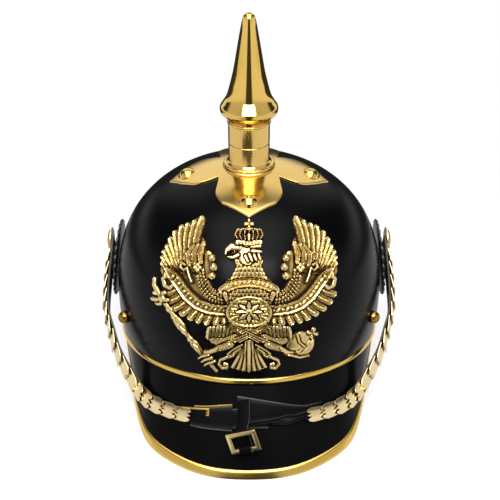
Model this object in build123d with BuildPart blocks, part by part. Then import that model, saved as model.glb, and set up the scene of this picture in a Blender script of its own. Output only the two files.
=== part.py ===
# Spiked parade helmet: lacquered leather skull with a brass spike, cross shaped base
# plate, eagle plate, cockades, brass chinscales and a buckled leather chin strap.
# Millimetres. Origin on the spike axis at table level, +Z up, front faces -Y.

import os
from math import atan2, cos, degrees, hypot, pi, radians, sin, sqrt, tan

from build123d import *

os.makedirs("parts", exist_ok=True)

# ---- Skull ----
skull_half_width = 95.0        # widest outside half width
skull_front_reach = 106.0      # spike axis to forehead, outside
skull_rear_reach = 97.0        # spike axis to back of head, outside
skull_wall = 3.0               # leather thickness
crown_base_level = 41.0        # height where the crown curve starts
crown_rise = 102.8             # crown base to apex
crown_flatness = 2.87          # curve exponent along the height
crown_fullness = 1.95          # curve exponent along the radius
skull_foot_half_width = 92.3   # half width at the lower side edge
skull_foot_level = 8.0         # level of that lower half width

# ---- Seams between skull, front visor and neck guard ----
side_seam_level = 15.0         # seam height at the ears
front_seam_level = 41.6        # seam height at the forehead
rear_seam_level = 36.0         # seam height at the back
side_rim_level = 12.0          # rim height at the ears
rim_low_level = 0.5            # leather rim height at front and rear centre

# ---- Front visor and neck guard ----
brim_thickness = 2.6           # leather thickness
rim_half_width = 92.0          # rim half width at the ears
visor_reach = 145.2            # spike axis to front of the visor leather
guard_reach = 139.0            # spike axis to back of the neck guard leather
brim_split_gap = 0.8           # gap between visor and guard at the ears
trim_height = 3.3              # brass channel height on the rim
trim_gauge = 0.9               # brass sheet thickness of the channel

# ---- Seam strip and ball studs ----
strip_radius = 2.5             # half round strip
strip_inset = 0.6              # strip centre inside the skull face
ball_radius = 4.4
ball_proud = 1.6               # ball centre outside the skull face
ball_level = 53.5              # ball height on the skull
ball_forward = 28.5            # degrees from the ear towards the front
ball_shank_radius = 1.5

# ---- Base plate and studs ----
plate_gauge = 1.1              # brass sheet thickness
arm_reach = 54.2               # centre to pointed tip
stud_circle = 42.7             # centre to stud
front_arm_half_width = 21.6
side_arm_half_width = 17.2
stud_head_radius = 6.0
stud_head_height = 3.6
stud_shank_radius = 1.6
nut_radius = 3.6
nut_height = 2.4
nut_gap = 0.05                 # thread clearance between a shank and its nut

# ---- Spike and neck ----
neck_radius = 13.8
neck_bore = 12.6
neck_top_level = 176.6
neck_line_level = 161.3        # seam line round the neck tube
flange_radius = 17.9
flange_top_level = 148.7
neck_rim_radius = 14.5
stem_clear = 0.06              # running clearance of the threaded plug in the neck
plug_depth = 6.0               # threaded plug below the neck top
plug_bore = 4.5                # vent bore of the plug and of the neck tube
washer_gauge = 0.6
spike_tip_level = 246.4
spike_flare_level = 184.7
spike_flare_radius = 19.1
spike_lip_level = 178.4
groove_radius = 11.6
stud_tube_radius = 6.0         # tube that passes through the skull
crown_nut_radius = 11.0
crown_nut_height = 3.0

# ---- Rear spine ----
spine_half_width = 5.5
spine_end_gap = 0.15           # spine end to the seam strip and to the rim channel
rivet_radius = 2.4
rivet_rise = 1.3
rivet_shank_radius = 0.9

# ---- Cockades and bosses ----
pivot_y = 12.0                 # chinscale pivot, behind the spike axis
pivot_level = 76.5             # chinscale pivot height
cockade_radius = 28.0
cockade_drop = 12.5            # cockade centre below the pivot
cockade_forward = 3.0          # cockade centre in front of the pivot
cockade_lean = 6.0             # degrees, top leans inward
cockade_gauge = 2.0
cockade_teeth = 24
cockade_out = 0.85             # cockade mid face outside the skull half width
post_radius = 2.2              # boss post
post_clear = 0.06              # running clearance in the eyelet
boss_radius = 8.2
boss_rise = 3.0
eyelet_gauge = 0.8
eyelet_radius = 9.5
eyelet_gap = 0.2               # eyelet to the leather

# ---- Chin strap ----
backing_gauge = 1.6            # leather behind the scales
scale_gauge = 0.6
scale_pitch = 10.4
scale_length = 14.0
scale_top_width = 18.0
scale_end_width = 8.0
scale_tilt = 8.0               # degrees, front edge lifted over the next scale
scale_gap = 0.3                # scale heel above the leather
scale_start = 10.5             # pivot to the heel of the first scale
scale_count = 15
strap_out = 3.9                # skull half width to the leather's mid face at the pivot
strap_lift = 0.65              # leather above the visor
strap_gauge = 2.0
strap_start_width = 6.0        # right strap, folded narrow where it leaves the scales
strap_end_width = 19.0         # right strap at its loose end
strap_past_middle = 7.0        # right strap end beyond the middle
strap_start_edge = 3.8         # right strap's start moved towards the seam
strap_rise_edge = 4.5          # right strap's end moved towards the seam
tab_start_width = 12.0         # left tab where it leaves the scales
tab_end_width = 16.0           # left tab at its end
tab_short = 10.5               # left tab end short of the middle
tongue_gauge = 1.2
tongue_width = 12.0
tongue_past_middle = 12.0
tongue_gap = 0.35              # tongue to the strap that covers it
edge_width = 0.8               # brass edging of the left tab
edge_gauge = 2.4
edge_length = 25.0

# ---- Buckle ----
buckle_width = 19.6
buckle_height = 13.8
buckle_bar = 2.8
buckle_gauge = 2.0
buckle_corner = 0.8
buckle_pin_radius = 1.3        # round lower bar in the leather loop
buckle_pin_clear = 0.08
buckle_lift = 8.0              # buckle centre above the visor
buckle_down = 0.614            # buckle centre as a share of the way down the visor
buckle_aside = 3.4             # buckle centre left of the middle
loop_width = 8.0
loop_wall = 1.3

# ---- Lining ----
band_gap = 4.5                 # skull inner face to the sweatband
band_gauge = 1.6
band_lift = 5.0                # lower edge above the seams
band_height = 30.0
lip_height = 2.0               # turned lip at the sweatband's lower edge
lip_gap = 0.1                  # lip to the skull
liner_count = 10               # soft lining tongues
liner_slit = 3.0
liner_lap = 8.0                # tongues inside the top of the sweatband
liner_gap = 0.2                # tongues to the sweatband
liner_gauge = 1.2
liner_top_radius = 22.0

# ---- Eagle plate ----
eagle_level = 86.0             # centre height of the drawing plane
eagle_forward = 12.0           # drawing plane in front of the skull
eagle_tilt = 22.0              # degrees, top leans back
eagle_gauge = 1.2
eagle_feather_relief = 2.0
eagle_band_relief = 2.8
eagle_body_relief = 4.0
eagle_head_relief = 4.8
eagle_post_x = 24.0
eagle_post_level = 78.0
eagle_post_radius = 1.5

apex_level = crown_base_level + crown_rise
front_slope = (front_seam_level - side_seam_level) / skull_front_reach
rear_slope = (rear_seam_level - side_seam_level) / skull_rear_reach
visor_fall = (side_rim_level - rim_low_level) / visor_reach
guard_fall = (side_rim_level - rim_low_level) / guard_reach


def reach(front):
    """Skull reach on the chosen side."""
    return skull_front_reach if front else skull_rear_reach


def dome_half(grow, front):
    """One half of the skull form, grown outward by grow, closed at the foot level."""
    wide = skull_half_width + grow
    high = crown_rise + grow
    points = [(skull_foot_half_width + grow, skull_foot_level)]
    for share in (0.0, 0.2, 0.38, 0.55, 0.7, 0.82, 0.91, 0.965, 0.99):
        points.append((wide * (1 - share**crown_flatness) ** (1 / crown_fullness),
                       crown_base_level + high * share))
    apex = (0.0, crown_base_level + high)
    with BuildPart(mode=Mode.PRIVATE) as half:
        with BuildSketch(Plane.XZ):
            with BuildLine():
                Spline(*points, apex, tangents=[(0.07, 1), (-1, 0)])
                Line(apex, (0, skull_foot_level))
                Line((0, skull_foot_level), points[0])
            make_face()
        revolve(axis=Axis.Z, revolution_arc=180)
    turned = half.part if not front else half.part.rotate(Axis.Z, 180)
    return scale(turned, by=(1, (reach(front) + grow) / wide, 1), mode=Mode.PRIVATE)


def dome(grow):
    """The whole skull form grown outward by grow."""
    return dome_half(grow, True) + dome_half(grow, False)


def crown_plane(x, y, grow):
    """Plane on the crown at (x, y), its normal pointing outward."""
    wide = skull_half_width + grow
    deep = (reach(y <= 0) + grow)
    high = crown_rise + grow
    round_share = hypot(x / wide, y / deep)
    share = (1 - round_share**crown_fullness) ** (1 / crown_flatness)
    pull = crown_fullness * max(round_share, 1e-6) ** (crown_fullness - 2)
    normal = Vector(pull * x / wide**2, pull * y / deep**2,
                    crown_flatness * share ** (crown_flatness - 1) / high)
    return Plane(origin=(x, y, crown_base_level + high * share), z_dir=normal)


def crown_share(level, grow):
    """Round share of the grown crown at a level."""
    share = max(level - crown_base_level, 0) / (crown_rise + grow)
    return (1 - share**crown_flatness) ** (1 / crown_fullness)


def side_face(y, level, grow):
    """Half width of the grown skull form at a place on its side."""
    deep = reach(y <= 0) + grow
    return (skull_half_width + grow) * sqrt(crown_share(level, grow) ** 2 - (y / deep) ** 2)


def front_face(x, level, grow):
    """Reach of the grown skull form at a place on its front."""
    wide = skull_half_width + grow
    return (skull_front_reach + grow) * sqrt(crown_share(level, grow) ** 2 - (x / wide) ** 2)


def wall_half_width(level):
    """Outside half width of the skull wall below the crown."""
    run = (level - skull_foot_level) / (crown_base_level - skull_foot_level)
    return skull_foot_half_width + (skull_half_width - skull_foot_half_width) * min(run, 1)


# ---- Ruled surfaces of the two brims ----
# Each pair is the reach share and the width share of a rim point.
visor_shape = ((0.0, 1.0), (0.178, 0.967), (0.39, 0.896), (0.59, 0.831), (0.785, 0.722),
               (0.897, 0.549), (0.978, 0.293), (1.0, 0.0))
guard_shape = ((0.0, 1.0), (0.2, 0.976), (0.42, 0.905), (0.62, 0.79), (0.79, 0.63),
               (0.91, 0.432), (0.98, 0.215), (1.0, 0.0))


def brim_values(front):
    """Shape, sign of Y, seam slope, rim fall, skull reach and rim reach of one brim."""
    if front:
        return visor_shape, -1, front_slope, visor_fall, skull_front_reach, visor_reach
    return guard_shape, 1, rear_slope, guard_fall, skull_rear_reach, guard_reach


def flare(front):
    """Plan thickness over true thickness at the middle of a brim."""
    _, _, slope, _, near, far = brim_values(front)
    return hypot(far - near, side_seam_level + slope * near - rim_low_level) / (
        side_seam_level + slope * near - rim_low_level)


def brim_pair(front, reach_share, width_share, grow):
    """Seam point and rim point of one ruling for X >= 0, grown outward."""
    _, sign, slope, fall, near, far = brim_values(front)
    angle = atan2(reach_share, width_share)
    more = grow * (1 + (flare(front) - 1) * sin(angle))
    deep = max((near + more) * sin(angle), brim_split_gap / 2)
    seam = Vector((wall_half_width(side_seam_level) + grow) * cos(angle), sign * deep,
                  side_seam_level + slope * deep)
    low = max((far + more) * reach_share, brim_split_gap / 2)
    rim = Vector((rim_half_width + grow) * width_share, sign * low, side_rim_level - fall * low)
    return seam, rim


def brim_curve(front, level, grow):
    """Points from +X to -X on the brim, level above the rim plane, None for the seam."""
    shape, sign, slope, fall, _, _ = brim_values(front)
    half = []
    for reach_share, width_share in shape:
        seam, rim = brim_pair(front, reach_share, width_share, grow)
        if level is None:
            half.append(seam)
        else:
            high = seam.Z - (side_rim_level - fall * abs(seam.Y))
            half.append(seam + (rim - seam) * (1 - level / high))
    other = [Vector(-p.X, p.Y, p.Z) for p in reversed(half[:-1])]
    return half + other


def brim_face(front, level, outer, inner):
    """Closed band between two grown brim curves on one plane."""
    _, sign, slope, fall, _, _ = brim_values(front)
    lean = slope if level is None else -fall
    start = (0, sign, lean)
    end = (0, -sign, -lean)
    out = brim_curve(front, level, outer)
    inn = brim_curve(front, level, inner)
    with BuildLine(mode=Mode.PRIVATE) as band:
        Spline(*out, tangents=[start, end])
        Line(out[-1], inn[-1])
        Spline(*inn, tangents=[start, end])
        Line(inn[0], out[0])
    return Face(Wire(band.edges()))


def brim_band(front, top, bottom, outer, inner):
    """Solid band of a brim between two levels."""
    faces = [brim_face(front, top, outer, inner), brim_face(front, bottom, outer, inner)]
    return Solid.make_loft([f.outer_wire() for f in faces], True)


def seam_plane(front):
    """Plane of the seam, its normal pointing up."""
    _, sign, slope, _, _, _ = brim_values(front)
    return Plane(origin=(0, 0, side_seam_level), x_dir=(1, 0, 0), z_dir=(0, -sign * slope, 1))


def below(plane, size=400):
    """A large block under a plane."""
    with BuildPart(plane, mode=Mode.PRIVATE) as block:
        Box(size, size, size, align=(Align.CENTER, Align.CENTER, Align.MAX))
    return block.part


def side_block(front, start, size=400):
    """A large block on the front or rear side, from start outward."""
    sign = -1 if front else 1
    with BuildPart(Plane.XY.offset(0), mode=Mode.PRIVATE) as block:
        with Locations((0, sign * (start + size / 2), 0)):
            Box(size, size, size)
    return block.part


def rod(plane, radius, low, high):
    """A round rod along the plane's normal."""
    with BuildPart(mode=Mode.PRIVATE) as bar:
        with BuildSketch(plane.offset(low)):
            Circle(radius)
        extrude(amount=high - low)
    return bar.part


def ring_nut(plane, radius, bore, low, high):
    """A round nut along the plane's normal."""
    with BuildPart(mode=Mode.PRIVATE) as nut:
        with BuildSketch(plane.offset(low)):
            RegularPolygon(radius, 6)
            Circle(bore, mode=Mode.SUBTRACT)
        extrude(amount=high - low)
    return nut.part


above_table = below(Plane.XY.rotated((180, 0, 0)))
skull_outer = dome(0)
skull_inner = dome(-skull_wall)
plate_outer = dome(plate_gauge)

# ---- Places of the fasteners ----
stud_planes = [crown_plane(x, y, 0) for x, y in
               ((0, -stud_circle), (0, stud_circle), (stud_circle, 0), (-stud_circle, 0))]
ball_round = crown_share(ball_level, 0)
ball_x = skull_half_width * ball_round * cos(radians(ball_forward))
ball_y = -skull_front_reach * ball_round * sin(radians(ball_forward))
ball_planes = [crown_plane(side * ball_x, ball_y, 0) for side in (1, -1)]
post_planes = [Plane(origin=(0, pivot_y, pivot_level), x_dir=(0, 1, 0), z_dir=(side, 0, 0))
               for side in (1, -1)]
spine_start = arm_reach + spine_end_gap
rivet_planes = [crown_plane(0, spine_start + share * (skull_rear_reach - spine_start), 0)
                for share in (0.32, 0.7)]
eagle_planes = [Plane(origin=(x, 0, eagle_post_level), x_dir=(1, 0, 0), z_dir=(0, -1, 0))
                for x in (eagle_post_x, -eagle_post_x)]
hole_gap = 0.1

# ---- Skull shell ----
shell = skull_outer - skull_inner
front_cut = side_block(True, 0) & below(seam_plane(True))
rear_cut = side_block(False, 0) & below(seam_plane(False))
shell = shell - front_cut - rear_cut
for plane in stud_planes:
    shell = shell - rod(plane, stud_shank_radius + hole_gap, -12, 6)
for plane in ball_planes:
    shell = shell - rod(plane, ball_shank_radius + hole_gap, -12, 6)
for plane in post_planes:
    shell = shell - rod(plane, post_radius + hole_gap, 70, 110)
for plane in eagle_planes:
    shell = shell - rod(plane, eagle_post_radius + hole_gap, 70, 112)
for plane in rivet_planes:
    shell = shell - rod(plane, rivet_shank_radius + hole_gap, -12, 6)
shell = shell - rod(Plane.XY, stud_tube_radius + hole_gap, 120, 160)
with BuildPart() as skull:
    add(shell)
skull.part.label = "skull"
export_step(skull.part, "parts/skull.step")

# ---- Front visor and neck guard ----
brims = {}
for name, front in (("front_visor", True), ("neck_guard", False)):
    leather = brim_band(front, None, 0, 0, -brim_thickness)
    with BuildPart() as brim:
        add(leather)
    brim.part.label = name
    export_step(brim.part, f"parts/{name}.step")
    brims[front] = brim.part

# ---- Brass channels on both rims ----
clip_start = brim_split_gap / 2
trims = {}
for name, front in (("front_visor_trim", True), ("neck_guard_trim", False)):
    band = brim_band(front, trim_height, -trim_gauge, trim_gauge, -brim_thickness - trim_gauge)
    band = band & below(seam_plane(front))
    band = band & side_block(front, clip_start)
    channel = band - brims[front]
    channel = channel & above_table
    with BuildPart() as trim:
        add(channel)
    trim.part.label = name
    export_step(trim.part, f"parts/{name}.step")
    trims[front] = trim.part
print("skull, brims and trims", skull.part.volume, [b.volume for b in brims.values()],
      [(t.volume, len(t.solids())) for t in trims.values()])

# ---- Half round seam strip from ear to ear ----
strips = {}
for name, front in (("front_seam_strip", True), ("rear_seam_strip", False)):
    sign = -1 if front else 1
    slope = front_slope if front else rear_slope
    wide = wall_half_width(side_seam_level) - strip_inset
    deep = reach(front) - strip_inset
    first = degrees((clip_start + strip_radius * slope) / deep)
    path_points = []
    for step in range(17):
        angle = radians(first + (180 - 2 * first) * step / 16)
        out = deep * sin(angle)
        path_points.append((wide * cos(angle), sign * out,
                            side_seam_level + slope * out + strip_radius * hypot(1, slope)))
    with BuildPart() as strip:
        with BuildLine() as strip_path:
            Spline(*path_points)
        with BuildSketch(Plane(origin=strip_path.line @ 0, z_dir=strip_path.line % 0)):
            Circle(strip_radius)
        sweep()
        add(skull_outer, mode=Mode.SUBTRACT)
    strip.part.label = name
    export_step(strip.part, f"parts/{name}.step")
    strips[front] = strip.part

# ---- Ball studs on the sides of the skull, with nuts inside ----
ball_nut_seat = skull_wall + 0.2
with BuildPart() as ball_studs:
    for plane in ball_planes:
        with Locations(plane.offset(ball_proud)):
            Sphere(ball_radius)
    add(skull_outer, mode=Mode.SUBTRACT)
    for plane in ball_planes:
        add(rod(plane, ball_shank_radius, -ball_nut_seat - nut_height - 0.8, 0.6))
ball_studs.part.label = "side_ball_studs"
export_step(ball_studs.part, "parts/side_ball_studs.step")
with BuildPart() as ball_nuts:
    for plane in ball_planes:
        add(ring_nut(plane, nut_radius, ball_shank_radius + nut_gap,
                     -ball_nut_seat - nut_height, -ball_nut_seat))
ball_nuts.part.label = "side_ball_nuts"
export_step(ball_nuts.part, "parts/side_ball_nuts.step")

# ---- Cross shaped base plate ----
notch = (20.0, 14.4)
with BuildPart() as base_plate:
    with BuildSketch(Plane.XY.offset(crown_base_level + crown_rise - 40)):
        with BuildLine():
            front_edge = Spline((0.8 * front_arm_half_width, -0.77 * arm_reach),
                                (front_arm_half_width, -0.61 * arm_reach),
                                (0.96 * front_arm_half_width, -0.41 * arm_reach),
                                (notch[0], -notch[1]))
            Line((0, -arm_reach), front_edge @ 0)
            side_edge = Spline(front_edge @ 1, (0.5 * arm_reach, -0.98 * side_arm_half_width),
                               (0.66 * arm_reach, -side_arm_half_width),
                               (0.84 * arm_reach, -0.6 * side_arm_half_width))
            Line(side_edge @ 1, (arm_reach, 0))
            mirror(about=Plane.XZ)
            mirror(about=Plane.YZ)
        make_face()
        Circle(stud_tube_radius + hole_gap, mode=Mode.SUBTRACT)
    extrude(amount=60)
    add(plate_outer, mode=Mode.INTERSECT)
    add(skull_outer, mode=Mode.SUBTRACT)
    for plane in stud_planes:
        add(rod(plane, stud_shank_radius + hole_gap, -12, 6), mode=Mode.SUBTRACT)
base_plate.part.label = "base_plate"
export_step(base_plate.part, "parts/base_plate.step")

# ---- Four domed studs that clamp the base plate, with nuts inside ----
cap_sphere = (stud_head_radius**2 + stud_head_height**2) / (2 * stud_head_height)
with BuildPart() as plate_studs:
    for plane in stud_planes:
        with Locations(plane.offset(plate_gauge + stud_head_height - cap_sphere)):
            Sphere(cap_sphere)
    add(plate_outer, mode=Mode.SUBTRACT)
    for plane in stud_planes:
        add(rod(plane, stud_shank_radius, -skull_wall - nut_height - 1.0, plate_gauge + 0.6))
plate_studs.part.label = "base_plate_studs"
export_step(plate_studs.part, "parts/base_plate_studs.step")
with BuildPart() as plate_nuts:
    for plane in stud_planes:
        add(ring_nut(plane, nut_radius, stud_shank_radius + nut_gap,
                     -skull_wall - nut_height - 0.2, -skull_wall - 0.2))
plate_nuts.part.label = "base_plate_nuts"
export_step(plate_nuts.part, "parts/base_plate_nuts.step")

# ---- Neck: beaded flange, tube with a rolled top rim, vent tube through the skull ----
tube_low = apex_level - skull_wall - crown_nut_height - 1.4
flange_low = apex_level - 2.2
floor_level = apex_level + plate_gauge + 2.0
with BuildPart() as neck:
    with BuildSketch(Plane.XZ):
        with BuildLine():
            Polyline((plug_bore, flange_low), (flange_radius - 0.9, flange_low),
                     (flange_radius - 0.5, flange_low + 0.9))
            ThreePointArc((flange_radius - 0.5, flange_low + 0.9),
                          (flange_radius, flange_low + 2.0),
                          (flange_radius - 0.9, flange_low + 2.9))
            ThreePointArc((flange_radius - 0.9, flange_low + 2.9),
                          (flange_radius - 0.2, flange_low + 4.0),
                          (flange_radius - 1.4, flange_low + 5.2))
            Polyline((flange_radius - 1.4, flange_low + 5.2),
                     (flange_radius - 2.6, flange_low + 5.4),
                     (neck_radius + 0.6, flange_top_level - 0.6),
                     (neck_radius, flange_top_level + 0.8),
                     (neck_radius, neck_line_level - 0.25),
                     (neck_radius - 0.25, neck_line_level),
                     (neck_radius, neck_line_level + 0.25),
                     (neck_radius, neck_top_level - 3.0),
                     (neck_rim_radius, neck_top_level - 0.8),
                     (neck_rim_radius - 0.3, neck_top_level),
                     (neck_bore, neck_top_level),
                     (neck_bore, floor_level),
                     (plug_bore, floor_level),
                     (plug_bore, flange_low))
        make_face()
    revolve(axis=Axis.Z)
    add(plate_outer, mode=Mode.SUBTRACT)
    with BuildSketch(Plane.XY.offset(tube_low)):
        Circle(stud_tube_radius)
        Circle(plug_bore, mode=Mode.SUBTRACT)
    extrude(amount=floor_level - tube_low)
neck.part.label = "spike_neck"
export_step(neck.part, "parts/spike_neck.step")

# ---- Ring nut that clamps the neck from inside the skull ----
with BuildPart() as crown_nut:
    with BuildSketch(Plane.XY.offset(apex_level - skull_wall - crown_nut_height - 0.8)):
        RegularPolygon(crown_nut_radius, 8)
        Circle(stud_tube_radius + nut_gap, mode=Mode.SUBTRACT)
    extrude(amount=crown_nut_height)
crown_nut.part.label = "neck_ring_nut"
export_step(crown_nut.part, "parts/neck_ring_nut.step")

# ---- Spike: hollow cone with a rounded tip, flared foot and recessed groove ----
groove_low = neck_top_level + 0.05
with BuildPart() as cone:
    with BuildSketch(Plane.XZ):
        with BuildLine():
            outer = Spline((0, spike_tip_level), (3.0, spike_tip_level - 1.6),
                           (4.3, spike_tip_level - 4.9), (5.6, spike_tip_level - 11.2),
                           (7.8, spike_tip_level - 23.6), (10.1, spike_tip_level - 36.5),
                           (12.5, spike_flare_level + 15.3), (14.5, spike_flare_level + 8.6),
                           (16.8, spike_flare_level + 4.6),
                           (spike_flare_radius - 0.3, spike_flare_level + 1.5),
                           (spike_flare_radius, spike_flare_level), tangents=[(1, 0), (0, -1)])
            Spline(outer @ 1, (spike_flare_radius - 0.6, spike_flare_level - 2.2),
                   (spike_flare_radius - 2.7, spike_flare_level - 4.6),
                   (groove_radius + 1.6, spike_lip_level), tangents=[(0, -1), (-1, -0.25)])
            Polyline((groove_radius + 1.6, spike_lip_level), (groove_radius, spike_lip_level),
                     (groove_radius, groove_low), (groove_radius - 1.2, groove_low),
                     (groove_radius - 1.2, spike_lip_level + 1.4),
                     (spike_flare_radius - 3.6, spike_flare_level - 2.6),
                     (spike_flare_radius - 2.2, spike_flare_level),
                     (spike_flare_radius - 4.2, spike_flare_level + 4.4),
                     (12.6, spike_flare_level + 9.0), (10.8, spike_flare_level + 15.3),
                     (8.4, spike_tip_level - 37.0), (6.2, spike_tip_level - 23.6),
                     (4.0, spike_tip_level - 11.6), (0, spike_tip_level - 8.0),
                     (0, spike_tip_level))
        make_face()
    revolve(axis=Axis.Z)
cone.part.label = "spike_cone"
export_step(cone.part, "parts/spike_cone.step")

# ---- Threaded plug soldered in the cone's foot, it turns in the neck ----
with BuildPart() as plug:
    with BuildSketch(Plane.XY.offset(neck_top_level - plug_depth)):
        Circle(neck_bore - stem_clear)
    extrude(amount=plug_depth - washer_gauge)
    with BuildSketch(Plane.XY.offset(neck_top_level - plug_depth)):
        Circle(groove_radius - 1.2)
    extrude(amount=plug_depth + 3.0)
    with BuildSketch(Plane.XY.offset(neck_top_level - plug_depth)):
        Circle(plug_bore)
    extrude(amount=plug_depth + 3.0, mode=Mode.SUBTRACT)
plug.part.label = "spike_plug"
export_step(plug.part, "parts/spike_plug.step")

# ---- Loose washer in the groove between the cone and the neck ----
with BuildPart() as washer:
    with BuildSketch(Plane.XY.offset(neck_top_level + 0.1)):
        Circle(neck_rim_radius - 0.8)
        Circle(groove_radius + stem_clear, mode=Mode.SUBTRACT)
    extrude(amount=washer_gauge)
washer.part.label = "spike_washer"
export_step(washer.part, "parts/spike_washer.step")
print("spike, neck, plate", [p.part.volume for p in (cone, plug, washer, neck, base_plate)],
      [len(p.part.solids()) for p in (cone, plug, washer, neck, base_plate, plate_studs)])


# ---- Route of the chin strap ----
# Mid face of the leather on the right side, from the pivot forward, hanging free.
# Out from the skull half width, forward of the pivot, below the pivot, and the normal.
free_route = (((0.0, 0.0, 0.0), (1, 0, 0)), ((0.1, 8.5, 5.1), (1, 0, 0)),
              ((0.2, 15.5, 9.5), (1, 0, 0)), ((0.5, 31.5, 18.7), (1, -0.02, 0)),
              ((-0.5, 48.0, 28.1), (0.98, -0.15, 0)), ((-4.7, 61.5, 35.7), (0.92, -0.38, 0.05)),
              ((-10.9, 76.5, 44.6), (0.86, -0.48, 0.12)))
# Then along the visor: reach share, width share and share of the way down the slope.
visor_route = ((0.655, 0.802, 0.50), (0.785, 0.722, 0.49), (0.845, 0.643, 0.475),
               (0.897, 0.549, 0.455), (0.943, 0.428, 0.43), (0.978, 0.293, 0.405),
               (0.994, 0.15, 0.38), (1.0, 0.0, 0.37))
first_lift = 1.2               # extra lift where the strap leaves the visor


def visor_spot(reach_share, width_share, down, lift):
    """Point lifted off the visor and the outward normal there."""
    seam, rim = brim_pair(True, reach_share, width_share, 0)
    angle = atan2(reach_share, width_share)
    along = Vector(-sin(angle) * skull_half_width, -cos(angle) * visor_reach, 0).normalized()
    drop = (rim - seam).normalized()
    normal = along.cross(drop).normalized()
    if normal.Z < 0:
        normal = normal * -1
    return seam + (rim - seam) * down + normal * lift, normal


def strap_stations():
    """Stations of the right half of the strap, from the pivot to the middle."""
    stations = []
    for (out, forward, down), normal in free_route:
        spot = Vector(skull_half_width + strap_out + out, pivot_y - forward, pivot_level - down)
        stations.append((spot, Vector(*normal).normalized()))
    lift = strap_lift + backing_gauge / 2
    for index, (far, wide, down) in enumerate(visor_route):
        extra = first_lift if index == 0 else 0.35 if index == 1 else 0
        stations.append(visor_spot(far, wide, down, lift + extra))
    return stations


def smooth_frames(stations, spacing, start=0.0, stop=None):
    """Frames at even spacing on a smooth curve through stations: point, along, normal."""
    dense = []
    last = len(stations) - 1
    for i in range(last):
        p0, p1 = stations[max(i - 1, 0)][0], stations[i][0]
        p2, p3 = stations[i + 1][0], stations[min(i + 2, last)][0]
        n1, n2 = stations[i][1], stations[i + 1][1]
        for step in range(24):
            t = step / 24
            spot = (p1 * 2 + (p2 - p0) * t + (p0 * 2 - p1 * 5 + p2 * 4 - p3) * t**2
                    + (p1 * 3 - p0 - p2 * 3 + p3) * t**3) * 0.5
            dense.append((spot, n1 * (1 - t) + n2 * t))
    dense.append(stations[-1])
    lengths = [0.0]
    for a, b in zip(dense, dense[1:]):
        lengths.append(lengths[-1] + (b[0] - a[0]).length)
    stop = lengths[-1] if stop is None else stop
    count = max(int(round((stop - start) / spacing)), 1)
    frames = []
    for k in range(count + 1):
        target = start + (stop - start) * k / count
        i = max(j for j in range(len(lengths)) if lengths[j] <= target + 1e-9)
        i = min(i, len(dense) - 2)
        t = (target - lengths[i]) / (lengths[i + 1] - lengths[i])
        spot = dense[i][0] * (1 - t) + dense[i + 1][0] * t
        low = max(i - 3, 0)
        high = min(i + 4, len(dense) - 1)
        along = (dense[high][0] - dense[low][0]).normalized()
        normal = dense[i][1] * (1 - t) + dense[i + 1][1] * t
        normal = (normal - along * normal.dot(along)).normalized()
        frames.append((spot, along, normal))
    return frames, lengths[-1]


def ribbon(frames, widths, gauge):
    """A strap of rectangular section through the frames."""
    wires = []
    for (spot, along, normal), width in zip(frames, widths):
        across = normal.cross(along)
        corners = [spot + across * (width / 2 * a) + normal * (gauge / 2 * b)
                   for a, b in ((1, 1), (-1, 1), (-1, -1), (1, -1))]
        with BuildLine(mode=Mode.PRIVATE) as outline:
            Polyline(*corners, close=True)
        wires.append(Wire(outline.edges()))
    return Solid.make_loft(wires, True)


def mirrored(shape, side):
    """The shape itself, or its mirror image on the left side."""
    return shape if side > 0 else shape.mirror(Plane.YZ)


stations = strap_stations()
_, half_length = smooth_frames(stations, 8.0)
scale_end = scale_start + scale_pitch * (scale_count - 1) + scale_length
backing_end = scale_end - 1.0
print("strap half length", half_length, "scales end", scale_end)


def scale_width(distance):
    """Width of the scales and their leather at a distance from the pivot."""
    share = min(max(distance / scale_end, 0), 1)
    return scale_top_width + (scale_end_width - scale_top_width) * share


backing_frames, _ = smooth_frames(stations, 6.0, 0.0, backing_end)
backing_widths = [scale_width(backing_end * k / (len(backing_frames) - 1)) - 3.0
                  for k in range(len(backing_frames))]
backing_solid = ribbon(backing_frames, backing_widths, backing_gauge)
leather_face = skull_half_width + strap_out + backing_gauge / 2
nut_seat = side_face(pivot_y + nut_radius, pivot_level + nut_radius, -skull_wall) - 0.2


def scale_solid(index):
    """One chinscale: flat plate with a three toothed front edge, tilted like a shingle."""
    start = scale_start + scale_pitch * index
    frames, _ = smooth_frames(stations, scale_length, start, start + scale_length)
    spot, along, normal = frames[0]
    chord = (frames[-1][0] - spot).normalized()
    normal = (normal - chord * normal.dot(chord)).normalized()
    lift = radians(scale_tilt)
    forward = chord * cos(lift) + normal * sin(lift)
    outward = normal * cos(lift) - chord * sin(lift)
    origin = spot + normal * (backing_gauge / 2 + scale_gap)
    half = scale_width(start) / 2
    long = scale_length
    with BuildPart(mode=Mode.PRIVATE) as plate:
        with BuildSketch(Plane(origin=origin, x_dir=forward, z_dir=outward)):
            with BuildLine():
                Polyline((0, -0.92 * half), (long - 3.0, -half), (long - 0.9, -0.86 * half),
                         (long - 1.2, -0.55 * half), (long - 2.4, -0.4 * half),
                         (long - 0.6, -0.2 * half), (long, 0), (long - 0.6, 0.2 * half),
                         (long - 2.4, 0.4 * half), (long - 1.2, 0.55 * half),
                         (long - 0.9, 0.86 * half), (long - 3.0, half), (0, 0.92 * half),
                         close=True)
            make_face()
        extrude(amount=scale_gauge)
    return plate.part


scale_solids = [scale_solid(index) for index in range(scale_count)]

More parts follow.
